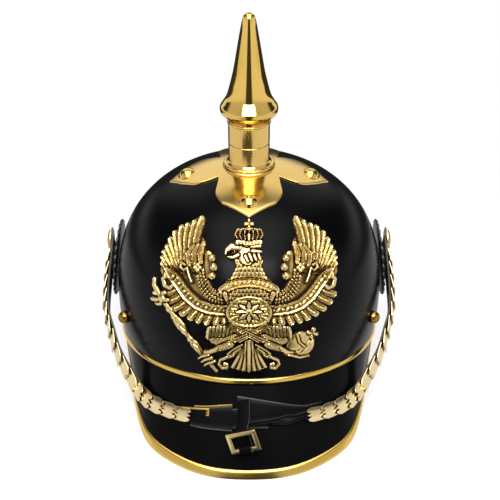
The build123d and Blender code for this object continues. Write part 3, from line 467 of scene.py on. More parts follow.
class Bench:
    """Modelling steps done with the program's own operators."""

    @staticmethod
    def clear() -> None:
        """Deselects everything."""
        bpy.ops.object.select_all(action="DESELECT")

    @staticmethod
    def pick(piece: bpy.types.Object) -> None:
        """Makes one piece the active and only selected one.

        Args:
            piece: The piece to select.
        """
        Bench.clear()
        piece.select_set(True)
        bpy.context.view_layer.objects.active = piece

    @staticmethod
    def label(piece: bpy.types.Object, name: str) -> None:
        """Names a piece and its mesh."""
        piece.name = name
        piece.data.name = name

    @staticmethod
    def grid(name: str, points: np.ndarray, cut: np.ndarray | None = None) -> bpy.types.Object:
        """Adds a grid primitive and lays its corners on a surface.

        Args:
            name: Piece name.
            points: Array of rows by columns by 3, in millimetres.
            cut: Optional number for each corner, kept as the attribute "cut".

        Returns:
            The new piece, still open.
        """
        rows, columns = points.shape[:2]
        Bench.clear()
        bpy.ops.mesh.primitive_grid_add(x_subdivisions=columns - 1, y_subdivisions=rows - 1,
                                        size=1.0, location=(0, 0, 0))
        piece = bpy.context.active_object
        Bench.label(piece, name)
        flat = np.empty(len(piece.data.vertices) * 3)
        piece.data.vertices.foreach_get("co", flat)
        flat = flat.reshape(-1, 3)
        column = np.rint((flat[:, 0] + 0.5) * (columns - 1)).astype(int)
        row = np.rint((flat[:, 1] + 0.5) * (rows - 1)).astype(int)
        piece.data.vertices.foreach_set("co", (points[row, column] * MM).ravel())
        if cut is not None:
            store = piece.data.attributes.new("cut", "FLOAT", "POINT")
            store.data.foreach_set("value", cut[row, column].astype(np.float32).ravel())
        piece.data.update()
        return piece

    @staticmethod
    def close(piece: bpy.types.Object, fill: bool = True, angle: float = 40.0) -> bpy.types.Object:
        """Merges doubled corners, closes holes, points the faces outward and shades them.

        Args:
            piece: The piece to finish.
            fill: Whether open rims are closed.
            angle: Edges sharper than this stay sharp, in degrees.

        Returns:
            The same piece.
        """
        Bench.pick(piece)
        bpy.ops.object.mode_set(mode="EDIT")
        bpy.ops.mesh.select_all(action="SELECT")
        bpy.ops.mesh.remove_doubles(threshold=3e-6)
        if fill:
            bpy.ops.mesh.fill_holes(sides=0)
            bpy.ops.mesh.select_all(action="SELECT")
        bpy.ops.mesh.normals_make_consistent(inside=False)
        bpy.ops.object.mode_set(mode="OBJECT")
        bpy.ops.object.shade_smooth_by_angle(angle=math.radians(angle))
        return piece

    @staticmethod
    def turned(name: str, profile: Sequence[Pair], steps: int = 144,
               angle: float = 32.0) -> bpy.types.Object:
        """Spins a closed profile round the Z axis.

        Args:
            name: Piece name.
            profile: Radius and height pairs in millimetres, in order round the section.
            steps: Steps of the full turn.
            angle: Sharp edge angle in degrees.

        Returns:
            The turned piece.
        """
        Bench.clear()
        bpy.ops.mesh.primitive_circle_add(vertices=len(profile), radius=1.0, location=(0, 0, 0))
        piece = bpy.context.active_object
        Bench.label(piece, name)
        for corner, (radius, level) in zip(piece.data.vertices, profile):
            corner.co = Vector((radius, 0.0, level)) * MM
        Bench.pick(piece)
        bpy.ops.object.mode_set(mode="EDIT")
        bpy.ops.mesh.select_all(action="SELECT")
        bpy.ops.mesh.spin(steps=steps, angle=math.tau, center=(0, 0, 0), axis=(0, 0, 1))
        bpy.ops.object.mode_set(mode="OBJECT")
        return Bench.close(piece, False, angle)

    @staticmethod
    def modify(piece: bpy.types.Object, kind: str, **settings) -> None:
        """Adds one modifier with its settings and applies it.

        Args:
            piece: The piece to change.
            kind: The modifier's type.
            **settings: The modifier's settings by name.
        """
        Bench.pick(piece)
        modifier = piece.modifiers.new(kind.title(), kind)
        for key, setting in settings.items():
            setattr(modifier, key, setting)
        bpy.ops.object.modifier_apply(modifier=modifier.name)

    @staticmethod
    def copy(piece: bpy.types.Object, name: str, matrix: Matrix) -> bpy.types.Object:
        """Copies a piece with its own mesh, moved by a matrix in metres.

        Args:
            piece: The pattern.
            name: The copy's name.
            matrix: Its move, in metres.

        Returns:
            The copy.
        """
        twin = piece.copy()
        twin.data = piece.data.copy()
        Bench.label(twin, name)
        bpy.context.collection.objects.link(twin)
        twin.data.transform(matrix)
        if matrix.determinant() < 0:
            twin.data.flip_normals()
        return twin

    @staticmethod
    def join(name: str, pieces: Sequence[bpy.types.Object]) -> bpy.types.Object:
        """Joins pieces into the first one.

        Args:
            name: The joined piece's name.
            pieces: Pieces to join.

        Returns:
            The joined piece.
        """
        Bench.clear()
        for piece in pieces:
            piece.select_set(True)
        bpy.context.view_layer.objects.active = pieces[0]
        if len(pieces) > 1:
            bpy.ops.object.join()
        Bench.label(pieces[0], name)
        return pieces[0]

    @staticmethod
    def drop(piece: bpy.types.Object) -> None:
        """Deletes a pattern piece."""
        bpy.data.objects.remove(piece, do_unlink=True)

    @staticmethod
    def seat(origin: Vector, normal: Vector, aside: Vector = Vector((0, 1, 0))) -> Matrix:
        """Matrix that stands a piece from the origin on a place, its Z along the normal.

        Args:
            origin: Place in millimetres.
            normal: Heading of the piece's Z.
            aside: Rough heading of the piece's X.

        Returns:
            The matrix, in metres.
        """
        z_axis = normal.normalized()
        x_axis = (aside - z_axis * aside.dot(z_axis)).normalized()
        y_axis = z_axis.cross(x_axis)
        matrix = Matrix((x_axis, y_axis, z_axis)).transposed().to_4x4()
        matrix.translation = origin * MM
        return matrix


def smooth_line(points: Sequence[Sequence[float]], count: int) -> np.ndarray:
    """Even points on a smooth line through given points.

    Args:
        points: The points that the line passes.
        count: How many points to return.

    Returns:
        Array of count points.
    """
    given = np.asarray(points, float)
    line = []
    last = len(given) - 1
    for index in range(last):
        before, start = given[max(index - 1, 0)], given[index]
        end, after = given[index + 1], given[min(index + 2, last)]
        for t in np.linspace(0, 1, 24, endpoint=False):
            line.append(0.5 * (2 * start + (end - before) * t
                               + (2 * before - 5 * start + 4 * end - after) * t * t
                               + (3 * start - before - 3 * end + after) * t**3))
    line.append(given[-1])
    line = np.asarray(line)
    run = np.concatenate([[0], np.cumsum(np.linalg.norm(np.diff(line, axis=0), axis=1))])
    at = np.linspace(0, run[-1], count)
    return np.stack([np.interp(at, run, line[:, k]) for k in range(given.shape[1])], axis=1)


def arc(centre: Pair, radii: Pair, start: float, end: float, count: int) -> list[Pair]:
    """Points on an elliptic arc, its angles in radians from the first axis."""
    return [(centre[0] + radii[0] * math.cos(a), centre[1] + radii[1] * math.sin(a))
            for a in np.linspace(start, end, count)]


class SkullForm:
    """The skull's surface, grown outward by any amount."""

    def __init__(self, sizes: HelmetSizes) -> None:
        """Keeps the sizes."""
        self.s = sizes

    def deep(self, y: np.ndarray, grow: float) -> np.ndarray:
        """Reach on the side of y."""
        return np.where(y <= 0, self.s.front_reach, self.s.rear_reach) + grow

    def share(self, level: np.ndarray, grow: float) -> np.ndarray:
        """Radius at a level as a share of the full radius.

        Args:
            level: Levels above the table.
            grow: Distance that the surface is grown outward.

        Returns:
            A share for each level.
        """
        s = self.s
        up = np.clip((level - s.base_level) / (s.rise + grow), 0, 1)
        crown = (1 - up**s.flatness) ** (1 / s.fullness)
        run = (level - s.foot_level) / (s.base_level - s.foot_level)
        low = (s.foot_half_width + grow + (s.half_width - s.foot_half_width) * run) / (
            s.half_width + grow)
        return np.where(level >= s.base_level, crown, low)

    def at(self, angle: np.ndarray, level: np.ndarray, grow: float) -> np.ndarray:
        """Points at a plan angle and a level.

        Args:
            angle: Plan angles in radians.
            level: Levels above the table.
            grow: Distance that the surface is grown outward.

        Returns:
            The points, in millimetres.
        """
        share = self.share(level, grow)
        y_part = np.sin(angle)
        return np.stack([(self.s.half_width + grow) * share * np.cos(angle),
                         self.deep(y_part, grow) * share * y_part, level + 0 * angle], axis=-1)

    def seam(self, angle: np.ndarray, grow: float, lift: float = 0.0) -> np.ndarray:
        """Level of the tilted seam at a plan angle.

        Args:
            angle: Plan angles in radians.
            grow: Distance that the surface is grown outward.
            lift: Extra level over the seam.

        Returns:
            A level for each angle.
        """
        s = self.s
        level = np.full_like(angle, s.side_seam)
        for _ in range(6):
            y = self.at(angle, level, grow)[..., 1]
            slope = np.where(y <= 0, (s.front_seam - s.side_seam) / s.front_reach,
                             (s.rear_seam - s.side_seam) / s.rear_reach)
            level = s.side_seam + slope * np.abs(y) + lift
        return level

    def height(self, x: np.ndarray, y: np.ndarray, grow: float) -> np.ndarray:
        """Level of the crown over a plan point.

        Args:
            x: Places across.
            y: Places along.
            grow: Distance that the surface is grown outward.

        Returns:
            A level for each place.
        """
        s = self.s
        round_share = np.hypot(x / (s.half_width + grow), y / self.deep(y, grow))
        return s.base_level + (s.rise + grow) * np.clip(
            1 - np.clip(round_share, 0, 1) ** s.fullness, 0, 1) ** (1 / s.flatness)

    def normal(self, points: np.ndarray, grow: float = 0.0) -> np.ndarray:
        """Outward normals at crown points.

        Args:
            points: Points on the crown.
            grow: Distance that the surface is grown outward.

        Returns:
            A unit normal for each point.
        """
        s = self.s
        wide, deep = s.half_width + grow, self.deep(points[..., 1], grow)
        round_share = np.maximum(np.hypot(points[..., 0] / wide, points[..., 1] / deep), 1e-6)
        up = np.clip((points[..., 2] - s.base_level) / (s.rise + grow), 1e-6, 1)
        pull = s.fullness * round_share ** (s.fullness - 2)
        out = np.stack([pull * points[..., 0] / wide**2, pull * points[..., 1] / deep**2,
                        s.flatness * up ** (s.flatness - 1) / (s.rise + grow)], axis=-1)
        return out / np.linalg.norm(out, axis=-1, keepdims=True)

    def hit(self, start: np.ndarray, heading: np.ndarray, reach: float = 90.0) -> np.ndarray:
        """Where rays from outside the crown first meet it.

        Args:
            start: Starts of the rays.
            heading: Unit headings of the rays.
            reach: Longest distance to look.

        Returns:
            A point for each ray.
        """
        s = self.s

        def outside(points: np.ndarray) -> np.ndarray:
            """Positive outside the crown.

            Args:
                points: Points in millimetres.

            Returns:
                Numbers that are negative inside.
            """
            up = np.clip((points[..., 2] - s.base_level) / s.rise, 0, 2)
            flat = np.hypot(points[..., 0] / s.half_width,
                            points[..., 1] / self.deep(points[..., 1], 0.0))
            return flat**s.fullness + up**s.flatness - 1

        stride = 1.5
        walk = np.zeros(start.shape[:-1])
        done = np.zeros(start.shape[:-1], bool)
        for step in np.arange(0, reach, stride):
            done |= outside(start + heading * (walk + stride)[..., None]) < 0
            walk = np.where(done, walk, step + stride)
        near, far = walk, walk + stride
        for _ in range(24):
            middle = (near + far) / 2
            inside = outside(start + heading * middle[..., None]) < 0
            far = np.where(inside, middle, far)
            near = np.where(inside, near, middle)
        return start + heading * near[..., None]


class BrimForm:
    """Ruled surface of the front visor or the neck guard."""

    visor = ((0.0, 1.0), (0.178, 0.967), (0.39, 0.896), (0.59, 0.831), (0.785, 0.722),
             (0.897, 0.549), (0.978, 0.293), (1.0, 0.0))
    guard = ((0.0, 1.0), (0.2, 0.976), (0.42, 0.905), (0.62, 0.79), (0.79, 0.63),
             (0.91, 0.432), (0.98, 0.215), (1.0, 0.0))
    split = 0.4

    def __init__(self, sizes: HelmetSizes, front: bool) -> None:
        """Chooses the side.

        Args:
            sizes: Shared sizes.
            front: True for the visor, False for the neck guard.
        """
        self.s = sizes
        self.front = front
        self.sign = -1 if front else 1
        self.near = sizes.front_reach if front else sizes.rear_reach
        self.far = sizes.visor_reach if front else sizes.guard_reach
        seam_level = sizes.front_seam if front else sizes.rear_seam
        self.slope = (seam_level - sizes.side_seam) / self.near
        self.fall = (sizes.side_rim - sizes.low_rim) / self.far
        high = sizes.side_seam + self.slope * self.near - sizes.low_rim
        self.flare = math.hypot(self.far - self.near, high) / high
        run = (sizes.side_seam - sizes.foot_level) / (sizes.base_level - sizes.foot_level)
        self.wall = sizes.foot_half_width + (sizes.half_width - sizes.foot_half_width) * run

    def pair(self, reach_share: float, width_share: float, grow: float) -> tuple:
        """Seam point and rim point of one ruling.

        Args:
            reach_share: Share of the full reach.
            width_share: Share of the half width.
            grow: Distance that the surface is grown outward.

        Returns:
            The two points.
        """
        angle = math.atan2(reach_share, width_share)
        more = grow * (1 + (self.flare - 1) * math.sin(angle))
        deep = max((self.near + more) * math.sin(angle), self.split)
        seam = Vector(((self.wall + grow) * math.cos(angle), self.sign * deep,
                       self.s.side_seam + self.slope * deep))
        low = max((self.far + more) * reach_share, self.split)
        rim = Vector(((self.s.rim_half_width + grow) * width_share, self.sign * low,
                      self.s.side_rim - self.fall * low))
        return seam, rim

    def rails(self, grow: float, count: int) -> tuple[np.ndarray, np.ndarray]:
        """Seam and rim lines from +X to -X, with matching points.

        Args:
            grow: Distance that the surface is grown outward.
            count: How many points to return.

        Returns:
            Points of the seam and of the rim.
        """
        shape = self.visor if self.front else self.guard
        pairs = [self.pair(a, b, grow) for a, b in shape]
        seams = [tuple(p[0]) for p in pairs]
        rims = [tuple(p[1]) for p in pairs]
        seams += [(-x, y, z) for x, y, z in reversed(seams[:-1])]
        rims += [(-x, y, z) for x, y, z in reversed(rims[:-1])]
        both = smooth_line(np.hstack([np.asarray(seams), np.asarray(rims)]), count)
        return both[:, :3], both[:, 3:]

    def line(self, level: float | None, grow: float, count: int) -> np.ndarray:
        """Line on the brim at a level above the rim plane, None for the seam.

        Args:
            level: Level above the rim plane, or None.
            grow: Distance that the surface is grown outward.
            count: How many points to return.

        Returns:
            Points of the line.
        """
        seam, rim = self.rails(grow, count)
        if level is None:
            return seam
        high = seam[:, 2] - (self.s.side_rim - self.fall * np.abs(seam[:, 1]))
        return seam + (rim - seam) * (1 - level / high)[:, None]

    def spot(self, reach_share: float, width_share: float, down: float,
             lift: float) -> tuple[Vector, Vector]:
        """Point lifted off the brim, and the outward normal there.

        Args:
            reach_share: Share of the full reach.
            width_share: Share of the half width.
            down: Share of the way from the seam to the rim.
            lift: Distance off the brim.

        Returns:
            The point and its unit normal.
        """
        seam, rim = self.pair(reach_share, width_share, 0)
        angle = math.atan2(reach_share, width_share)
        along = Vector((-math.sin(angle) * self.s.half_width,
                        -math.cos(angle) * self.s.visor_reach, 0)).normalized()
        normal = along.cross((rim - seam).normalized()).normalized()
        if normal.z < 0:
            normal = -normal
        return seam + (rim - seam) * down + normal * lift, normal


@dataclass
class LeatherBody:
    """Skull, visor and neck guard in black lacquered leather."""

    sizes: HelmetSizes
    columns: int = 240
    rows: int = 90

    def skull(self) -> bpy.types.Object:
        """Models the skull as a closed shell between its seam and its crown.

        Returns:
            The closed shell.
        """
        form = SkullForm(self.sizes)
        angle = np.linspace(0, math.tau, self.columns + 1)
        layers = []
        for grow, upward in ((0.0, False), (-self.sizes.wall, True)):
            top = self.sizes.base_level + self.sizes.rise + grow
            low = form.seam(angle, grow)
            steps = np.linspace(0, 1, self.rows)
            steps = steps if upward else steps[::-1]
            for t in steps:
                level = low + (top - low) * (1 - (1 - t) ** 2)
                layers.append(form.at(angle, level, grow))
        return Bench.close(Bench.grid("skull_shell", np.stack(layers)), False, 50)

    def brim(self, name: str, front: bool) -> bpy.types.Object:
        """Models one brim as a closed shell of the leather's gauge.

        Args:
            name: Piece name.
            front: True for the visor, False for the neck guard.

        Returns:
            The closed brim.
        """
        form = BrimForm(self.sizes, front)
        layers = []
        for grow, first in ((0.0, 0), (-self.sizes.brim_gauge, 1)):
            seam, rim = form.rails(grow, self.columns)
            layers += [seam + (rim - seam) * t for t in np.linspace(first, 1 - first, 20)]
        layers.append(layers[0])
        return Bench.close(Bench.grid(name, np.stack(layers)), True, 50)

    def build(self, wardrobe: Wardrobe) -> None:
        """Models and dresses the three leather pieces.

        Args:
            wardrobe: Finishes that the pieces are dressed in.
        """
        wardrobe.dress(self.skull(), "black_lacquer", Body.HELMET, "skull")
        for name, front, node in (("visor_leather", True, "front_visor"),
                                  ("guard_leather", False, "neck_guard")):
            wardrobe.dress(self.brim(name, front), "black_lacquer", Body.HELMET, node)


@dataclass
class BrimBrass:
    """Rim channels, seam strips, ball studs and the spine of the helmet."""

    sizes: HelmetSizes
    trim_height: float = 3.3
    trim_gauge: float = 0.9
    strip_radius: float = 2.5
    strip_inset: float = 0.6
    ball_radius: float = 4.4
    ball_proud: float = 1.6
    ball_level: float = 53.5
    ball_forward: float = 28.5
    spine_half_width: float = 5.5
    spine_start: float = 54.35
    columns: int = 220

    def channel(self, name: str, front: bool) -> bpy.types.Object:
        """Models one folded rim channel with a rounded lip.

        Args:
            name: Piece name.
            front: True for the visor, False for the neck guard.

        Returns:
            The closed channel.
        """
        form = BrimForm(self.sizes, front)
        gauge, high, inner = self.trim_gauge, self.trim_height, -self.sizes.brim_gauge
        section = ((high - 0.1, 0.05), (high, 0.35), (high - 0.15, gauge * 0.85),
                   (high - 0.7, gauge), (high * 0.6, gauge * 1.02), (high * 0.25, gauge),
                   (0.1, gauge * 0.93), (-0.45, gauge * 0.62), (-gauge, gauge * 0.1),
                   (-gauge, inner - 0.1), (-0.45, inner - gauge * 0.62),
                   (0.2, inner - gauge * 0.95), (high * 0.5, inner - gauge),
                   (high - 0.4, inner - gauge * 0.98), (high, inner - gauge * 0.6),
                   (high - 0.1, inner - 0.05))
        layers = []
        for level, grow in section:
            line = form.line(level, grow, 1200)
            keep = np.abs(line[:, 1]) >= BrimForm.split
            line = smooth_line(line[keep][::6], self.columns)
            line[:, 2] = np.maximum(line[:, 2], 0.0)
            layers.append(line)
        layers.append(layers[0])
        return Bench.close(Bench.grid(name, np.stack(layers)), True, 50)

    def strip(self, name: str, front: bool) -> bpy.types.Object:
        """Models one half round seam strip.

        Args:
            name: Piece name.
            front: True for the visor, False for the neck guard.

        Returns:
            The closed strip.
        """
        form = BrimForm(self.sizes, front)
        wide = form.wall - self.strip_inset
        deep = form.near - self.strip_inset
        first = (BrimForm.split + self.strip_radius * form.slope) / deep
        angle = np.linspace(first, math.pi - first, self.columns)
        out = deep * np.sin(angle)
        path = np.stack([wide * np.cos(angle), form.sign * out, self.sizes.side_seam
                         + form.slope * out + self.strip_radius * math.hypot(1, form.slope)],
                        axis=1)
        along = np.gradient(path, axis=0)
        along /= np.linalg.norm(along, axis=1, keepdims=True)
        side = np.stack([path[:, 0] / wide**2, path[:, 1] / deep**2, 0 * out], axis=1)
        side /= np.linalg.norm(side, axis=1, keepdims=True)
        side -= along * np.sum(side * along, axis=1, keepdims=True)
        side /= np.linalg.norm(side, axis=1, keepdims=True)
        up = np.cross(along, side)
        layers = [path + self.strip_radius * (side * math.cos(a) + up * math.sin(a))
                  for a in np.linspace(0, math.tau, 29)]
        return Bench.close(Bench.grid(name, np.stack(layers)), True, 50)

    def balls(self) -> bpy.types.Object:
        """Models the two ball studs, each on a thin collar.

        Returns:
            Both studs, joined.
        """
        form = SkullForm(self.sizes)
        profile = [(0.0, self.ball_radius)]
        for a in np.linspace(0, 2.35, 40)[1:]:
            profile.append((self.ball_radius * math.sin(a), self.ball_radius * math.cos(a)))
        foot = profile[-1]
        profile += [(foot[0], foot[1] - 0.4), (0.0, foot[1] - 0.4)]
        pattern = Bench.turned("ball_pattern", profile, 64)
        pieces = []
        turn = math.radians(self.ball_forward)
        for angle in (-turn, math.pi + turn):
            foot_spot = form.at(np.array([angle]), np.array([self.ball_level]), 0.0)
            normal = Vector(form.normal(foot_spot)[0])
            place = Vector(foot_spot[0]) + normal * self.ball_proud
            pieces.append(Bench.copy(pattern, f"ball_{len(pieces)}", Bench.seat(place, normal)))
        Bench.drop(pattern)
        return Bench.join("ball_studs", pieces)

    def spine(self) -> bpy.types.Object:
        """Models the rear spine on the skull with rolled edges.

        Returns:
            The closed spine.
        """
        form = SkullForm(self.sizes)
        section = ((-1.0, -0.1), (-1.0, 0.75), (-0.93, 1.1), (-0.8, 1.05), (-0.4, 0.85),
                   (0.0, 0.85), (0.4, 0.85), (0.8, 1.05), (0.93, 1.1), (1.0, 0.75), (1.0, -0.1))
        end_y = self.sizes.rear_reach - 0.1
        low = self.sizes.rear_seam + 2 * self.strip_radius + 0.6
        t = np.linspace(0, 1, 60)
        layers = []
        for across, grow in section:
            x = np.full(60, across * self.spine_half_width)
            top = form.height(x[:1], np.array([self.spine_start]), grow)[0]
            level = top + (low - top) * t**0.8
            share = form.share(level, grow)
            y = (self.sizes.rear_reach + grow) * np.sqrt(np.clip(
                share**2 - (x / (self.sizes.half_width + grow)) ** 2, 0, 1))
            layers.append(np.stack([x, np.minimum(y, end_y + 2), level], axis=1))
        layers.append(layers[0])
        return Bench.close(Bench.grid("spine_strip", np.stack(layers)), True, 40)

    def guard_spine(self) -> bpy.types.Object:
        """Models the spine's lower piece on the neck guard.

        Returns:
            The closed strip.
        """
        form = BrimForm(self.sizes, False)
        layers = []
        for across, grow in ((-1.0, -0.1), (-1.0, 0.8), (-0.9, 1.1), (-0.5, 0.9), (0.5, 0.9),
                             (0.9, 1.1), (1.0, 0.8), (1.0, -0.1), (-1.0, -0.1)):
            seam, rim = form.rails(grow, 1201)
            column = int(np.argmin(np.abs(seam[:, 0] - across * self.spine_half_width)))
            reach = int(np.argmin(np.abs(rim[:, 0] - across * self.spine_half_width)))
            start, end = seam[column], rim[reach]
            high = start[2] - (self.sizes.side_rim - form.fall * abs(start[1]))
            stop = 1 - (self.trim_height + 0.15) / high
            layers.append(np.stack([start + (end - start) * stop * t
                                    for t in np.linspace(0, 1, 16)]))
        return Bench.close(Bench.grid("guard_spine_strip", np.stack(layers)), True, 40)

    def build(self, wardrobe: Wardrobe) -> None:
        """Models and dresses the brass of the brims.

        Args:
            wardrobe: Finishes that the pieces are dressed in.
        """
        for model, name, front, node in (
                (self.channel, "visor_channel", True, "front_visor_trim"),
                (self.channel, "guard_channel", False, "neck_guard_trim"),
                (self.strip, "visor_seam_strip", True, "front_seam_strip"),
                (self.strip, "guard_seam_strip", False, "rear_seam_strip")):
            wardrobe.dress(model(name, front), "trim_brass", Body.HELMET, node)
        wardrobe.dress(self.balls(), "ball_brass", Body.HELMET, "side_ball_studs")
        wardrobe.dress(self.spine(), "plate_brass", Body.HELMET, "rear_spine")
        wardrobe.dress(self.guard_spine(), "plate_brass", Body.HELMET, "neck_guard_spine")


@dataclass
class CrownBrass:
    """Base plate, its studs, the neck and the spike."""

    sizes: HelmetSizes
    arm_reach: float = 54.2
    stud_circle: float = 42.7
    front_half: float = 21.6
    side_half: float = 17.2
    notch: Pair = (20.0, 14.4)
    plate_bore: float = 6.1
    plate_edge: float = 0.8
    stud_radius: float = 6.0
    stud_height: float = 3.6
    rivet_radius: float = 2.4
    rivet_height: float = 1.3
    neck_radius: float = 13.8
    neck_bore: float = 12.6
    neck_top: float = 176.6
    neck_line: float = 161.3
    flange_radius: float = 17.9
    flange_top: float = 148.7
    spike_tip: float = 246.4
    flare_level: float = 184.7
    flare_radius: float = 19.1
    lip_level: float = 178.4
    groove_radius: float = 11.6

    def outline(self, count: int = 720) -> tuple[np.ndarray, np.ndarray]:
        """Angle and radius of the four armed plate outline.

        Args:
            count: How many steps round the plate.

        Returns:
            Angles and radii.
        """
        front = smooth_line(((0.8 * self.front_half, -0.77 * self.arm_reach),
                             (self.front_half, -0.61 * self.arm_reach),
                             (0.96 * self.front_half, -0.41 * self.arm_reach),
                             (self.notch[0], -self.notch[1])), 60)
        side = smooth_line(((self.notch[0], -self.notch[1]),
                            (0.5 * self.arm_reach, -0.98 * self.side_half),
                            (0.66 * self.arm_reach, -self.side_half),
                            (0.84 * self.arm_reach, -0.6 * self.side_half)), 60)
        quarter = np.vstack([[(0.0, -self.arm_reach)], front, side[1:], [(self.arm_reach, 0.0)]])
        dense = []
        for start, end in zip(quarter, quarter[1:]):
            for t in np.linspace(0, 1, 12, endpoint=False):
                dense.append(start + (end - start) * t)
        dense = np.asarray(dense + [quarter[-1]])
        angle = np.arctan2(dense[:, 1], dense[:, 0])
        radius = np.hypot(dense[:, 0], dense[:, 1])
        at = np.linspace(0, math.tau, count + 1)
        fold = np.arctan2(-np.abs(np.sin(at)), np.abs(np.cos(at)))
        return at, np.interp(fold, angle, radius)

    def plate(self) -> bpy.types.Object:
        """Models the base plate, laid on the crown with softened edges.

        Returns:
            The closed plate.
        """
        form = SkullForm(self.sizes)
        at, radius = self.outline()
        gauge = self.sizes.plate_gauge
        section = ((0.0, -0.02), (0.0, 0.55), (0.12, 0.85), (0.35, 1.04), (self.plate_edge, 1.1))
        rings = [(radius - inset, grow) for inset, grow in section]
        rings += [((radius - self.plate_edge) * (1 - t) + self.plate_bore * t, gauge)
                  for t in np.linspace(0, 1, 24)[1:]]
        rings.append((self.plate_bore, -0.02))
        layers = []
        for reach, grow in rings:
            x, y = reach * np.cos(at), reach * np.sin(at)
            layers.append(np.stack([x, y, form.height(x, y, grow)], axis=1))
        layers.append(layers[0])
        return Bench.close(Bench.grid("crown_plate", np.stack(layers)), False, 45)

    def heads(self, name: str, radius: float, high: float,
              places: Sequence[Pair]) -> bpy.types.Object:
        """Models domed stud heads on the plate, one pattern copied.

        Args:
            name: Name of the joined piece.
            radius: A head's radius.
            high: A head's height.
            places: Plan places of the heads.

        Returns:
            The heads, joined.
        """
        sphere = (radius**2 + high**2) / (2 * high)
        last = math.asin(min(radius / sphere, 1.0))
        profile = [(0.0, high)]
        for a in np.linspace(0, last, 22)[1:]:
            profile.append((sphere * math.sin(a), high - sphere + sphere * math.cos(a)))
        profile += [(radius, -0.5), (0.0, -0.5)]
        pattern = Bench.turned(f"{name}_pattern", profile, 64)
        form = SkullForm(self.sizes)
        gauge = self.sizes.plate_gauge
        pieces = []
        for index, (x, y) in enumerate(places):
            level = form.height(np.array([x]), np.array([y]), gauge)[0]
            spot = np.array([[x, y, level]])
            normal = form.normal(spot, gauge)[0]
            pieces.append(Bench.copy(pattern, f"{name}_{index}",
                                     Bench.seat(Vector(spot[0]), Vector(normal),
                                                Vector((1, 0.2, 0)))))
        Bench.drop(pattern)
        return Bench.join(name, pieces)

    def neck(self) -> bpy.types.Object:
        """Models the beaded flange, the tube with its seam line and the rolled top rim.

        Returns:
            The turned neck.
        """
        low = self.sizes.base_level + self.sizes.rise - 2.2
        flange, tube = self.flange_radius, self.neck_radius
        outside = [(flange - 1.0, low),
                   *arc((flange - 1.2, low + 1.75), (1.2, 1.3), -1.35, 1.2, 14),
                   *arc((flange - 1.7, low + 4.1), (1.05, 1.1), -0.9, 1.35, 12),
                   (flange - 2.6, low + 5.25), (tube + 1.5, low + 5.6),
                   (tube + 0.7, self.flange_top - 0.4), (tube + 0.25, self.flange_top + 0.3),
                   (tube, self.flange_top + 1.4), (tube, self.neck_line - 0.5),
                   (tube - 0.3, self.neck_line - 0.18), (tube - 0.3, self.neck_line + 0.12),
                   (tube, self.neck_line + 0.4), (tube, self.neck_top - 3.6),
                   (tube + 0.2, self.neck_top - 2.6),
                   *arc((tube + 0.05, self.neck_top - 0.9), (0.65, 0.9), -1.2, 1.4, 12)]
        inside = [(self.neck_bore, self.neck_top), (self.neck_bore, low + 5.4), (4.5, low + 5.4),
                  (4.5, low)]
        return Bench.turned("neck_tube", outside + inside, 160, 28)

    def spike(self) -> bpy.types.Object:
        """Models the hollow cone with its flared foot and recessed groove.

        Returns:
            The turned shell.
        """
        tip, flare, reach = self.spike_tip, self.flare_level, self.flare_radius
        cone = smooth_line(((0.0, tip), (3.0, tip - 1.6), (4.3, tip - 4.9), (5.6, tip - 11.2),
                            (7.8, tip - 23.6), (10.1, tip - 36.5), (12.5, flare + 15.3),
                            (14.5, flare + 8.6), (16.8, flare + 4.6), (reach - 0.3, flare + 1.5),
                            (reach, flare)), 90)
        foot = smooth_line(((reach, flare), (reach - 0.5, flare - 2.1), (reach - 2.6, flare - 4.5),
                            (self.groove_radius + 1.6, self.lip_level)), 24)
        inside = [(self.groove_radius, self.lip_level), (self.groove_radius, self.neck_top + 0.05),
                  (self.groove_radius - 1.2, self.neck_top + 0.05),
                  (self.groove_radius - 1.2, self.lip_level + 1.4), (reach - 3.6, flare - 2.6),
                  (reach - 2.2, flare), (reach - 4.2, flare + 4.4), (12.6, flare + 9.0),
                  (8.4, tip - 37.0), (4.0, tip - 11.6), (0.0, tip - 8.0)]
        profile = [tuple(p) for p in cone] + [tuple(p) for p in foot[1:]] + inside
        profile[0] = (0.0, tip)
        return Bench.turned("spike_shell", profile, 176, 30)

    def build(self, wardrobe: Wardrobe) -> None:
        """Models and dresses the crown's brass.

        Args:
            wardrobe: Finishes that the pieces are dressed in.
        """
        ring = self.stud_circle
        wardrobe.dress(self.plate(), "plate_brass", Body.HELMET, "base_plate")
        wardrobe.dress(self.heads("plate_stud_heads", self.stud_radius, self.stud_height,
                                  ((0, -ring), (0, ring), (ring, 0), (-ring, 0))),
                       "spike_brass", Body.HELMET, "base_plate_studs")
        spine_start = self.arm_reach + 0.15
        rear = self.sizes.rear_reach - spine_start
        wardrobe.dress(self.heads("spine_rivet_heads", self.rivet_radius, self.rivet_height,
                                  [(0, spine_start + share * rear) for share in (0.32, 0.7)]),
                       "plate_brass", Body.HELMET, "spine_rivets")
        wardrobe.dress(self.neck(), "plate_brass", Body.HELMET, "spike_neck")
        wardrobe.dress(self.spike(), "spike_brass", Body.SPIKE, "spike_cone")


def to_segment(u: np.ndarray, v: np.ndarray, start: np.ndarray,
               end: np.ndarray) -> tuple[np.ndarray, np.ndarray]:
    """Distance to a straight segment, and the share along it.

    Args:
        u: Places across the relief.
        v: Places up the relief.
        start: First end.
        end: Second end.

    Returns:
        The distances and the shares.
    """
    run = end - start
    t = np.clip(((u - start[0]) * run[0] + (v - start[1]) * run[1])
                / max(run @ run, 1e-9), 0, 1)
    return np.hypot(u - start[0] - t * run[0], v - start[1] - t * run[1]), t


